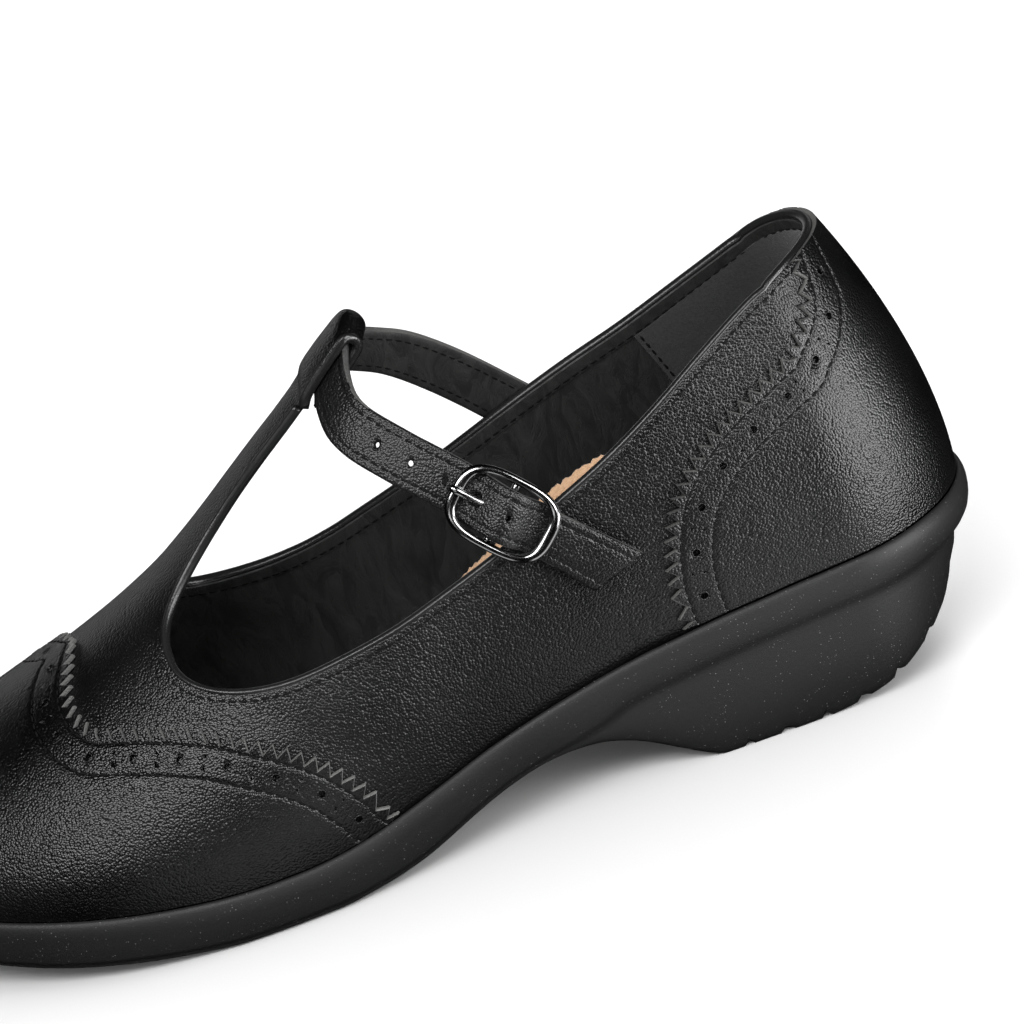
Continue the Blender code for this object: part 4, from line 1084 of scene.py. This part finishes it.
# Distances in from the edge's line of an overlay's rows, of its two seams and of its punched holes.
STRIP = np.array([TOOTH_ROOT, 2.06, 2.18, 2.36, 2.55, 2.8, 3.3, 4.0, 5.0, 6.0, 7.0, 7.9, 8.4, 8.75, 9.0, 9.25,
                  9.6, 10.4, 11.6])
STITCH_LINES, HOLE_LINE = (2.43, 9.0), 5.6
GROOVE_DEEP, GROOVE_WIDE, EDGE_THINNER = 0.22, 0.34, 0.1
OVERLAY_TOP = OVERLAY_LIFT + OVERLAY_THICK
TOOTH_RISE = np.array([0.0, 0.5, 1.0, 0.5])
EDGE_SAMPLES, REST_STEPS, END_STEPS = 400, 41, 10.0
# Millimetres round the foot at each place.
PLACE_RUN = ((0.0, 1.0, 2.0, 3.0), (0.0, 42.0, 200.0, 290.0))
# Past this share the cap's rows run straight ahead over the ridge, with this ease, by this much a millimetre.
RIDGE_FROM, RIDGE_EASE, RIDGE_PLACE = 0.72, 1.5, 1.14 / 92.0
COUNTER_UNDER_RIM = 0.006


def overlay_low(side, place):
    return lip_share(side, place, OVERLAY_FOOT)


def cap_top(side, place):
    return np.ones_like(place)


def counter_top(side, place):
    return collar_share(side, place) - COUNTER_UNDER_RIM


class Overlay:
    """An overlay's edge, offsets and sheet on one side of the shoe."""

    def __init__(self, side, edge, end, top_share, towards):
        self.side, self.end, self.top_share = side, end, top_share
        self.towards, self.to_toe = np.array(towards), towards[0] > 0
        share = np.linspace(*edge["share"][[0, -1]], EDGE_SAMPLES)
        place = smooth(edge, "place", share)
        low, top = self.limits(place)
        line = np.stack([place, share], -1)[(share >= low) & (share <= top)]
        run = run_along(section(side, line[:, 0], line[:, 1]))
        count = int(round(run[-1] / TOOTH_PITCH)) * len(TOOTH_RISE)
        self.place, self.share = line_at(np.linspace(0, run[-1], count + 1), run, line).T
        self.steps = np.arange(count + 1)

    def limits(self, place):
        return overlay_low(self.side, place), self.top_share(self.side, place)

    def offsets(self, distances):
        """Rows at distances in from the edge, as place and share; both ends run onto the overlay's limits."""
        place, share = line_off(self.side, self.place, self.share, distances, self.towards)
        if self.to_toe:
            near = np.clip((self.share - RIDGE_FROM) / (1 - RIDGE_FROM), 0, 1)[:, None] ** RIDGE_EASE
            straight = self.place[:, None] + np.asarray(distances, float) * RIDGE_PLACE
            place = place + (straight - place) * near
            share = share + (self.share[:, None] - share) * near
        low, top = self.limits(place)
        ramp_in, ramp_out = (np.clip(v / END_STEPS, 0, 1)[:, None] for v in (self.steps, self.steps[::-1]))
        share = low + (share - low) * ramp_in
        share = np.where(ramp_out < 1, top + (share - top) * ramp_out, share)
        return place, np.clip(share, low, top)

    def line(self, distance, lift):
        place, share = (v[:, 0] for v in self.offsets([distance]))
        return off_section(self.side, place, share, np.full(len(place), lift)), outward(self.side, place, share)

    def teeth(self, inward):
        """The zigzag of the pinked edge, moved in by a distance."""
        tooth = TOOTH_RISE[self.steps % len(TOOTH_RISE)]
        tooth[:2] = tooth[-2:] = 0
        if self.to_toe:
            tooth = tooth * np.clip(self.steps[::-1] / RIDGE_FADE, 0, 1)
        root = TOOTH_ROOT + inward
        return tuple(v[:, 0] + (v[:, 1] - v[:, 0]) * tooth for v in self.offsets([root, root - TOOTH_DEEP]))

    def raised(self, place, share, lift):
        grid = off_section(self.side, place, share, lift)
        if self.to_toe:
            grid[-1] = off_section(OUTER, place[-1], np.ones_like(place[-1]), lift[-1])
        return grid

    def sheet(self):
        """Under and outer face of the overlay, with its sunk stitch lines and pinked teeth, and the line
        where the bevel of the teeth begins."""
        place, share = self.offsets(STRIP)
        (foot_place, foot_share), (place[:, 0], share[:, 0]) = (self.teeth(d) for d in (0.0, TOOTH_BEVEL))
        low, top = self.limits(place[:, -1])
        level = np.clip((share[:, -1] - low) / (top - low), 0, 1)
        begin, finish = (np.interp(v, *PLACE_RUN) for v in (place[:, -1:], self.end))
        rest = begin + (finish - begin) * np.linspace(0, 1, REST_STEPS)[1:]
        rest_place = np.interp(rest, *PLACE_RUN[::-1])
        low, top = self.limits(rest_place)
        rest_share = low + (top - low) * level[:, None]
        groove = sum(np.exp(-((STRIP - d) / GROOVE_WIDE) ** 2) for d in STITCH_LINES) * GROOVE_DEEP
        thin = np.where(STRIP <= TOOTH_ROOT, EDGE_THINNER, 0.0)
        dent = np.concatenate([np.repeat((groove + thin)[None], len(level), 0), np.zeros(rest_place.shape)], 1)
        place = np.concatenate([place, rest_place], 1)
        share = np.concatenate([share, rest_share], 1)
        over = self.raised(place, share, OVERLAY_TOP - dent)
        place[:, 0], share[:, 0] = foot_place, foot_share
        under = self.raised(place, share, np.full(place.shape, OVERLAY_LIFT))
        bevel_lift = np.full((len(place), 1), OVERLAY_TOP - TOOTH_BEVEL_HIGH)
        bevel = self.raised(foot_place[:, None], foot_share[:, None], bevel_lift)[:, 0]
        bevel[0] = over[0, 0]
        if not self.to_toe:
            bevel[-1] = over[-1, 0]
        return under, over, bevel

    def parts(self, cut_edge):
        """Both faces, the cut ends and the pinked edge, each with its material; the cap's halves meet at the
        ridge, so they have no cut end there."""
        under, over, bevel = self.sheet()
        grids = [(over, OVERLAY), (under[::-1], OVERLAY)]
        grids += [(np.stack([under[row], over[row]], 1), cut_edge) for row in ([0] if self.to_toe else [0, -1])]
        grids.append((np.stack([under[:, 0], bevel, over[:, 0]], 1), cut_edge))
        made = []
        for grid, material in grids:
            made.append(cover(lasted("overlay_part", grid), material))
        return made


CAP = [Overlay(side, CAP_EDGE, 3.0, cap_top, [1.0, 0.0, 0.0]) for side in SIDES]
COUNTER = [Overlay(side, COUNTER_EDGE, 0.0, counter_top, [-1.0, 0.0, -0.9]) for side in SIDES]
# Punched holes: radii, pitch, half the spread of a small pair, steps left free at the ends, depth of the punch.
HOLE_BIG, HOLE_SMALL, HOLE_PITCH, PAIR_HALF, HOLE_MARGIN, PUNCH_DEEP = 0.78, 0.21, 9.6, 1.25, 3, 3.0
# Rims of the large holes: how much wider than the hole, how deep they sit and how high they are.
RIM_WIDER, RIM_SUNK, RIM_HIGH = 0.12, 0.06, 0.9
STITCH_PROUD = 0.1


def punch_template(sides):
    deselect()
    bpy.ops.mesh.primitive_cylinder_add(vertices=sides, radius=1.0, depth=1.0)
    return bpy.context.object


def rim_template():
    deselect()
    bpy.ops.mesh.primitive_torus_add(major_segments=16, minor_segments=6, major_radius=1.0, minor_radius=0.2)
    return bpy.context.object


def hole_places(overlay):
    """Places and normals of the large holes and of the small pairs between them."""
    line, normal = (v[HOLE_MARGIN:-HOLE_MARGIN] for v in overlay.line(HOLE_LINE, OVERLAY_TOP))
    at = even(line, HOLE_PITCH)
    between = (at[1:] + at[:-1]) / 2
    travel = unit(pick(np.gradient(line, axis=0), between))
    small, small_normal = pick(line, between), unit(pick(normal, between))
    across = unit(np.cross(small_normal, travel)) * PAIR_HALF
    pairs = np.concatenate([small + across, small - across])
    return pick(line, at), unit(pick(normal, at)), pairs, np.concatenate([small_normal, small_normal])


def hole_axes(normal, radius, deep):
    """Axes of a round shape that stands on a surface; which way it is turned doesn't matter."""
    other = unit(np.cross(normal, np.array([0.3, 0.2, 0.93])))
    return np.stack([other * radius, np.cross(normal, other) * radius, normal * deep], 1)


def make_overlay(name, halves, node_name, cut_edge):
    piece = join(name, [part for half in halves for part in half.parts(cut_edge)])
    merge(piece, outside=True)
    crisp(piece)
    big, big_n, small, small_n = (np.concatenate(v) for v in zip(*(hole_places(h) for h in halves)))
    templates = punch_template(14), punch_template(8), rim_template()
    cutters = [copies("large_punch", templates[0], big, hole_axes(big_n, HOLE_BIG, PUNCH_DEEP)),
               copies("small_punch", templates[1], small, hole_axes(small_n, HOLE_SMALL, PUNCH_DEEP))]
    cut(piece, join("punches", cutters))
    dress(piece, [], "overlay_leather", node_name)
    rims = copies(name + "_hole_rims", templates[2], big - big_n * RIM_SUNK,
                  hole_axes(big_n, HOLE_BIG + RIM_WIDER, RIM_HIGH))
    discard(*templates)
    dress(rims, [OVERLAY], "overlay_leather")
    lift = OVERLAY_TOP - GROOVE_DEEP + STITCH_PROUD
    sew(name + "_stitching", [half.line(d, lift) for half in halves for d in STITCH_LINES], "overlay_leather")
    return piece


# Strap and buckle

# Last row of the strap's table, row from which its tail widens, fine rows and steps along it.
STRAP_END, TAIL_ROW, STRAP_ROWS, STRAP_STEPS = 7, 6, 281, 170


def strap_line():
    """Run along the strap from the buckle's middle, with its frames and half widths."""
    rows = np.linspace(-STRAP_END, STRAP_END, STRAP_ROWS)
    run = run_along(strap_at(rows)[0])
    run = run - np.interp(BUCKLE_ROW, rows, run)
    steps = np.linspace(run[0], run[-1], STRAP_STEPS)
    at = np.interp(steps, run, rows)
    middle, across, _, normal = strap_at(at)
    humped = middle + strap_hump(steps)[:, None] * normal
    travel = unit(np.gradient(humped, axis=0))
    tilt = np.cross(travel, across)
    tilt = unit(tilt * np.sign(np.sum(tilt * normal, axis=1))[:, None])
    half = np.where(at > TAIL_ROW, np.linalg.norm(strap_edges(at)[1], axis=1) / 2, STRAP_HALF)
    return steps, humped, across, travel, tilt, half


# Strap's cross section on one half: share of the half width and height off the middle.
STRAP_SECTION = [(0.0, 1.12), (0.35, 1.11), (0.55, 1.08), (0.62, 1.02), (0.66, 0.93), (0.70, 1.01),
                 (0.78, 1.03), (0.9, 0.98), (0.96, 0.86), (0.99, 0.62), (1.0, 0.3), (0.985, 0.05),
                 (0.985, -0.1), (1.0, -0.35), (0.99, -0.75), (0.95, -0.95), (0.8, -1.04), (0.4, -1.08),
                 (0.0, -1.08)]
# Faces under the first height are lining; steep faces under the second height are cut edge.
LINING_UNDER, EDGE_UNDER, EDGE_STEEP = -0.6, 0.75, 0.55
STRAP_HOLE_RADIUS, STRAP_HOLE_DEEP, SLOT_HALF, SLOT_DEEP = 0.62, 6.0, 1.1, 8.0
# Strap's seams: share of the half width, heights over and under the middle, steps left free, step and stitches
# of the seam across the tail.
SEAM_SHARE, SEAM_OVER, SEAM_UNDER = 0.66, 0.98, 1.02
SEAM_STEPS, TIP_STEP, TIP_POINTS = slice(4, -5), -6, 12


def strap_faces(piece, middle, tilt):
    """Material of each face of the strap: skin, lining or cut edge."""
    found = []
    for what in ("normal", "center"):
        values = np.empty(len(piece.data.polygons) * 3)
        piece.data.polygons.foreach_get(what, values)
        found.append(values.reshape(-1, 3))
    normals, centres = found[0], found[1] / MM - SHIFT
    nearest = np.array([np.argmin(np.sum((middle - c) ** 2, axis=1)) for c in centres])
    lean = np.abs(np.sum(normals * tilt[nearest], axis=1))
    off = np.sum((centres - middle[nearest]) * tilt[nearest], axis=1)
    kind = np.where(off < LINING_UNDER, 1, np.where((lean < EDGE_STEEP) & (off < EDGE_UNDER), 2, 0))
    piece.data.polygons.foreach_set("material_index", kind.astype(np.int32))


def make_strap():
    steps, middle, across, travel, tilt, half = strap_line()
    profile = np.array(STRAP_SECTION)
    ring = np.concatenate([profile, (profile * [-1, 1])[-2::-1]])
    grid = middle[:, None] + across[:, None] * (half[:, None] * ring[:, 0])[..., None]
    piece = lasted("instep_strap", capped(grid + tilt[:, None] * ring[:, 1][None, :, None], middle))
    cover(piece, STRAP_SKIN, LINING, CUT_EDGE)
    merge(piece, 0.004, outside=True)
    strap_faces(piece, middle, tilt)
    template = punch_template(16)
    punches = []
    slot_long = (PRONG_SLOT[1] - PRONG_SLOT[0]) / 2
    for spots, long, wide, deep in ((STRAP_HOLES, STRAP_HOLE_RADIUS, STRAP_HOLE_RADIUS, STRAP_HOLE_DEEP),
                                    ([sum(PRONG_SLOT) / 2], slot_long, SLOT_HALF, SLOT_DEEP)):
        c, n, f = (line_at(spots, steps, v) for v in (middle, tilt, travel))
        axes = np.stack([f * long, np.cross(n, f) * wide, n * deep], 1)
        punches.append(copies("strap_punch", template, c, axes))
    discard(template)
    cut(piece, join("strap_punches", punches))
    dress(piece, [], "strap_leather", "strap")
    lines = []
    for sign in (-1, 1):
        seam = middle + across * (half * SEAM_SHARE * sign)[:, None]
        for lift, face in ((SEAM_OVER, tilt), (-SEAM_UNDER, -tilt)):
            lines.append(((seam + tilt * lift)[SEAM_STEPS], face[SEAM_STEPS]))
    over = np.linspace(-SEAM_SHARE, SEAM_SHARE, TIP_POINTS)[:, None] * half[TIP_STEP]
    tip = middle[TIP_STEP] + across[TIP_STEP] * over + tilt[TIP_STEP] * SEAM_UNDER
    lines.append((tip, np.repeat(tilt[[TIP_STEP]], TIP_POINTS, 0)))
    sew("strap_stitching", lines, "strap_leather")
    return piece


# Rows of the strap's table before and behind the buckle's row that its plane lies along.
BUCKLE_BEFORE, BUCKLE_BEHIND = 1.1, 0.95


def buckle_axes():
    middle, _, _, normal = strap_at(BUCKLE_ROW + np.array([-BUCKLE_BEFORE, 0.0, BUCKLE_BEHIND]))
    along = unit(middle[2] - middle[0])
    n = unit(normal[1] - along * np.dot(normal[1], along))
    return (middle[0] + middle[2]) / 4 + middle[1] / 2, along, np.cross(n, along), n


B_CENTRE, B_ALONG, B_SIDE, B_UP = buckle_axes()


def at_buckle(a, c, up):
    a, c, up = np.broadcast_arrays(np.asarray(a, float), c, up)
    return B_CENTRE + a[..., None] * B_ALONG + c[..., None] * B_SIDE + up[..., None] * B_UP


# The ring's wire is flatter underneath; the prong is a little wider than high and has play round the bar.
WIRE_UNDER, PRONG_WIDER, PRONG_PLAY = 0.8, 1.15, 0.25
RING_STEPS, WIRE_SIDES, BAR_STEPS = 145, 19, 12
# Prong seen from the side, from its tip to the bar: along the buckle and up.
PRONG = [(-12.1, 4.1), (-11.6, 4.45), (-10.5, 4.62), (-9.0, 4.2), (-7.5, 3.7), (-6.0, 3.1), (-4.6, 2.5),
         (-2.7, 1.55)]


def round_bar(radius, first, last, step):
    """Points round the buckle's bar, seen from the side, at angles in degrees."""
    angles = np.radians(np.arange(first, last, step))
    return [(radius * math.cos(q), BAR_LIFT + radius * math.sin(q)) for q in angles]


def make_buckle():
    turn = np.linspace(0, 2 * math.pi, RING_STEPS)[:, None]
    q = np.linspace(0, 2 * math.pi, WIRE_SIDES)[None, :]
    ca, sa = np.cos(turn), np.sin(turn)
    radial = unit(np.stack([ca / BUCKLE_HALF, sa / RING_HALF_WIDTH], -1))
    wide = (WIRE_WIDE + RING_END_WIDER * np.abs(ca) ** 4) * np.cos(q)
    rise = WIRE_HIGH * np.where(np.sin(q) > 0, 1.0, WIRE_UNDER) * np.sin(q)
    ring = at_buckle(BUCKLE_HALF * np.sign(ca) * np.abs(ca) ** RING_SQUARE + radial[..., 0] * wide,
                     RING_HALF_WIDTH * np.sign(sa) * np.abs(sa) ** RING_SQUARE + radial[..., 1] * wide,
                     RING_LIFT + rise)
    along, up = (np.repeat(v[None], BAR_STEPS, 0) for v in (B_ALONG, B_UP))
    bar_line = at_buckle(0.0, np.linspace(-RING_HALF_WIDTH, RING_HALF_WIDTH, BAR_STEPS), BAR_LIFT)
    pieces = [lasted("buckle_part", g) for g in (ring, tube(bar_line, along, up, BAR_RADIUS, BAR_RADIUS, 16))]
    for part in pieces:
        merge(part, 0.003, outside=True)
    dress(join("buckle_ring", pieces), [METAL], "buckle_metal", "buckle_frame")

    path = np.array(PRONG + round_bar(BAR_RADIUS + PRONG_PLAY + PRONG_RADIUS, 185, 340, 15))
    points = at_buckle(path[:, 0], 0.0, path[:, 1])
    side = np.repeat(B_SIDE[None], len(points), 0)
    second = np.cross(unit(np.gradient(points, axis=0)), side)
    prong = lasted("buckle_pin", tube(points, side, second, PRONG_RADIUS * PRONG_WIDER, PRONG_RADIUS, 14))
    merge(prong, 0.003, outside=True)
    dress(prong, [METAL], "buckle_metal", "buckle_prong")


# Tab: distances from the bar of its tail's points, clearance from the quarter and from the bar, half the slit
# that the prong moves in, and how far the bridge under the slit is tucked in.
TAB_TAIL, TAB_CLEAR, TAB_PLAY, SLIT_HALF, TAB_TUCK = (14.5, 12.2, 10.0, 8.2), GAP + 0.1, 0.2, 1.35, 0.95
# Its points before and after it turns round the bar: along the buckle and drop.
TAB_BEFORE_BAR, TAB_OVER_BAR = (3.4, 0.25), [(1.2, 0.15), (2.2, 0.7)]
# Part of the quarter that lies under the tab.
TAB_PLACES, TAB_SHARES = np.linspace(1.15, 1.5, 141), np.linspace(0.05, 0.45, 161)


def tab_height(a):
    """Height over the buckle's plane at which the tab lies on the quarter."""
    p = section(OUTER, *np.meshgrid(TAB_PLACES, TAB_SHARES, indexing="ij"))
    off = p - at_buckle(a, 0.0, 0.0)
    flat = np.hypot(off @ B_ALONG, off @ B_SIDE)
    i = np.unravel_index(np.argmin(flat), flat.shape)
    return float((p[i] - B_CENTRE) @ B_UP) + TAB_CLEAR + TAB_THICK / 2


def make_tab():
    """Short leather tab that holds the buckle's bar to the quarter, as two ears either side of the prong."""
    wrap = BAR_RADIUS + TAB_PLAY + TAB_THICK / 2
    path = [(a, tab_height(a)) for a in TAB_TAIL]
    path.append((TAB_BEFORE_BAR[0], BAR_LIFT - wrap - TAB_BEFORE_BAR[1]))
    bridge = np.array(path)
    bridge[-1, 0] *= TAB_TUCK
    path += round_bar(wrap, 270, 85, -15) + [(a, BAR_LIFT + wrap - drop) for a, drop in TAB_OVER_BAR]
    path = np.array(path)
    pieces = []
    for line, first, last, steps in ((path, -TAB_WIDTH / 2, -SLIT_HALF, 5), (path, SLIT_HALF, TAB_WIDTH / 2, 5),
                                     (bridge, -SLIT_HALF, SLIT_HALF, 4)):
        part = lasted("tab_part", at_buckle(line[:, :1], np.linspace(first, last, steps)[None, :], line[:, 1:]))
        pieces.append(wall(part, TAB_THICK, 0.0))
    return dress(join("buckle_keeper_tab", pieces), [STRAP_SKIN], "strap_leather", "buckle_tab")


# Inside

FOOTBED_STEPS, FOOTBED_ACROSS = (31, 240, 31), 17
# Seed and size of the fray of the footbed's raw edge; where its underside begins.
FRAY_SEED, FRAY, FOOTBED_UNDER = 7, 0.24, LEDGE + WALL + 3.4
# Rows up its wall: share of the edge's height, inset under the outer face, lift and share of the fray. Rows of
# the bed: inset from the sole's outline and how far it still cups up to the edge.
WALL_ROWS = [(0.35, WALL + 0.5, 0.6, 0.0), (0.7, WALL + 0.5, 0.4, 0.0), (0.95, WALL + 0.5, 0.0, 0.5),
             (1.0, WALL + 0.75, 0.0, 1.0), (1.0, WALL + 1.5, 0.1, 1.0), (0.9, WALL + 2.3, 0.0, 0.0)]
BED_ROWS = [(LEDGE + WALL + 5.0, 0.55), (LEDGE + WALL + 8.0, 0.28), (LEDGE + WALL + 11.0, 0.12),
            (LEDGE + WALL + 14.0, 0.04)]


def insole_floor(side, place):
    s, _ = outline(side, place)
    return lip(s) - TRAY_DEPTH + GAP


def insole_edge(side, place):
    s, _ = outline(side, place)
    return smooth(INSOLE, SIDE_NAME[side], s)


def share_at_height(side, place, height):
    return find_share(side, place, lambda p: p[..., 2] > height)


def make_footbed():
    places = round_foot(*FOOTBED_STEPS)
    rng = np.random.default_rng(FRAY_SEED)
    grids, beds = [], []
    for side in SIDES:
        floor, edge = insole_floor(side, places), insole_edge(side, places)
        fray = FRAY * rng.standard_normal(len(places))
        fray[[0, -1]] = 0
        rows = [np.stack([*outline_in(side, places, FOOTBED_UNDER), floor + GAP], -1)]
        for share, inset, lift, frayed in WALL_ROWS:
            height = floor + edge * share + (fray * frayed + lift)
            at = share_at_height(side, places, height)
            rows.append(off_section(side, places, at, np.full(len(places), -inset)))
            rows[-1][:, 2] = height
        for inset, cup in BED_ROWS:
            height = floor + INSOLE_MIDDLE + (edge - INSOLE_MIDDLE) * cup
            rows.append(np.stack([*outline_in(side, places, inset), height], -1))
        grid = np.stack(rows, 1)
        beds.append((grid[:, 0], grid[:, -1]))
        grids.append(grid if side == OUTER else grid[::-1])
    grids += [span_between(outer, inner, FOOTBED_ACROSS) for outer, inner in zip(*beds)]
    piece = join("footbed", [lasted("footbed_part", g) for g in grids])
    merge(piece, 0.02, outside=True)
    piece.visible_diffuse = False
    piece.visible_glossy = False
    return dress(piece, [TAN], "insole_leather", "insole")


# Heel grip: station of its front edge, steps along and up, distance under the rim, share of the footbed's edge
# that it reaches down to, lean of its front edge, thickness; seam's distance from the front edge.
GRIP_END, GRIP_STEPS, GRIP_ROWS, GRIP_UNDER_RIM, GRIP_DOWN, GRIP_LEAN = 57.0, 60, 25, 0.035, 0.5, 0.08
GRIP_THICK, GRIP_CLEAR, GRIP_SEAM, GRIP_SEAM_LIFT = 0.4, 0.06, 0.007, 0.5


def make_heel_grip():
    """Suede lining patch round the inside of the heel."""
    sheets, seams = [], []
    last = float(place_of(GRIP_END))
    place, up = np.linspace(0, last, GRIP_STEPS), np.linspace(0, 1, GRIP_ROWS)
    lean = np.linspace(GRIP_LEAN, 0, GRIP_ROWS)[None, :] * np.linspace(0, 1, GRIP_STEPS)[:, None]
    for side in SIDES:
        top = collar_share(side, place) - GRIP_UNDER_RIM
        low = share_at_height(side, place, insole_floor(side, place) + insole_edge(side, place) * GRIP_DOWN)
        share = low[:, None] + (top - low)[:, None] * up
        grid = off_section(side, place[:, None] - lean, share, np.full(share.shape, -WALL - GRIP_CLEAR))
        sheets.append(grid if side == OUTER else grid[::-1])
        seam_place = last - GRIP_SEAM - lean[-1]
        seam = off_section(side, seam_place, share[-1], np.full(GRIP_ROWS, -WALL - GRIP_SEAM_LIFT))
        seams.append((seam, -outward(side, seam_place, share[-1])))
    piece = join("heel_grip", [lasted("grip_part", g) for g in sheets])
    merge(piece, 0.005)
    wall(piece, GRIP_THICK, 1.0)
    crisp(piece)
    dress(piece, [GRIP], "upper_leather")
    return sew("heel_grip_stitching", seams, "upper_leather")


make_sole()
make_upper()
make_bead()
make_topline_stitching()
make_inner_binding()
make_overlay("toe_wing", CAP, "toe_cap", CAP_CUT_EDGE_PAINTED_LIGHT)
make_overlay("heel_wing", COUNTER, "heel_counter", CUT_EDGE)
make_strap()
make_buckle()
make_tab()
make_footbed()
make_heel_grip()
discard(STITCH)


# Floor, light and camera


def make_floor():
    deselect()
    bpy.ops.mesh.primitive_grid_add(x_subdivisions=4, y_subdivisions=4, size=9.0)
    floor = bpy.context.object
    floor.name = "studio_floor"
    material, tree, shader, spot = finish_base("pale_floor", Roughness=0.7)
    colour_by(tree, shader, noise(tree, spot, 1.2, 2.0)["Fac"], (0.61, 0.61, 0.61), (0.63, 0.63, 0.63))
    floor.data.materials.append(material)
    floor.visible_glossy = False


# Softboxes round the shoe: turn from the camera's side towards the toe and height, in degrees, then
# distance, width and height in metres and brightness.
LIGHTS = [("heel_softbox", -47, 18, 1.25, 0.52, 0.66, 10.0),
          ("front_softbox", 22, 6, 1.35, 0.60, 0.24, 1.6),
          ("toe_softbox", 25, 46, 1.40, 1.25, 0.50, 9.0),
          ("rear_toe_panel", 162, 6, 1.60, 1.20, 0.40, 0.85),
          ("rear_heel_panel", -150, 12, 1.50, 0.80, 0.40, 0.5),
          ("floor_light", -160, 32, 1.50, 0.70, 0.35, 20.0)]
AIM = np.array([0.0, 0.0, 0.05])
# Bright cards on the floor beside the heel, the waist and the ball: where they start from, turn, near and far
# end, width and brightness.
CARDS = [("heel_card", -0.10, 0.012, -48, 0.12, 0.62, 0.16, 12.5),
         ("waist_card", -0.085, 0.036, -8, 0.012, 0.075, 0.11, 1.0),
         ("ball_card", 0.03, 0.050, 0, 0.01, 0.08, 0.06, 0.8)]
CARD_LIFT, SURROUND = 0.002, 1.08


def set_up(name, data, right, up, back, place):
    """Put a lamp or the camera in its place, looking away from back."""
    item = bpy.data.objects.new(name, data)
    bpy.context.scene.collection.objects.link(item)
    turned = np.stack([right, up, back, place], 1).tolist()
    item.matrix_world = Matrix(turned + [[0, 0, 0, 1]])
    return item


def area_lamp(name, place, right, back, width, height, bright):
    """Softbox with its face away from back and its width along right."""
    lamp = bpy.data.lights.new(name, "AREA")
    lamp.shape = "RECTANGLE"
    lamp.size, lamp.size_y = width, height
    lamp.energy = bright * math.pi * width * height
    return set_up(name, lamp, right, np.cross(back, right), back, place)


def make_lights():
    for name, turn, rise, distance, width, height, bright in LIGHTS:
        turn, rise = math.radians(turn), math.radians(rise)
        back = np.array([math.sin(turn) * math.cos(rise), math.cos(turn) * math.cos(rise), math.sin(rise)])
        right = unit(np.cross([0, 0, 1.0], back))
        lamp = area_lamp(name, AIM + distance * back, right, back, width, height, bright)
        lamp.visible_glossy = name != "floor_light"
    for name, x, y, turn, near, far, width, bright in CARDS:
        away = np.array([math.sin(math.radians(turn)), math.cos(math.radians(turn)), 0.0])
        place = np.array([x, y, CARD_LIFT]) + away * (near + far) / 2
        area_lamp(name, place, away, np.array([0.0, 0.0, -1.0]), far - near, width, bright)
    world = bpy.data.worlds.new("studio")
    bpy.context.scene.world = world
    world.use_nodes = True
    surround = world.node_tree.nodes["Background"].inputs
    surround["Color"].default_value = (1, 1, 1, 1)
    surround["Strength"].default_value = SURROUND
    world.cycles_visibility.glossy = False


# Camera: height and roll, focal length in pixels of the picture's width, scale at the shoe, and the picture's
# point at which the front corner of the heel's tread lies.
ELEVATION, ROLL = math.radians(23.5), math.radians(18.3)
FOCAL_PIXELS, PIXELS, SENSOR, PIXELS_A_MM, FAR_CLIP = 6500.0, 1024, 36.0, 4.82, 50.0
HEEL_EDGE, HEEL_EDGE_PIXEL = np.array([67.0, 27.0, 0.0]), (722.0, 752.0)


def make_camera():
    back = np.array([0.0, math.cos(ELEVATION), math.sin(ELEVATION)])
    right = np.array([-1.0, 0.0, 0.0])
    up = np.cross(back, right)
    across = right * math.cos(ROLL) - up * math.sin(ROLL)
    upward = right * math.sin(ROLL) + up * math.cos(ROLL)
    off_x, off_y = HEEL_EDGE_PIXEL[0] - PIXELS / 2, PIXELS / 2 - HEEL_EDGE_PIXEL[1]
    place = HEEL_EDGE + (back * FOCAL_PIXELS - across * off_x - upward * off_y) / PIXELS_A_MM
    data = bpy.data.cameras.new("camera")
    data.sensor_width = SENSOR
    data.lens = FOCAL_PIXELS / PIXELS * SENSOR
    data.clip_end = FAR_CLIP
    bpy.context.scene.camera = set_up("camera", data, across, upward, back, (place + SHIFT) * MM)


make_floor()
make_lights()
make_camera()
bpy.context.scene.view_settings.view_transform = "Standard"
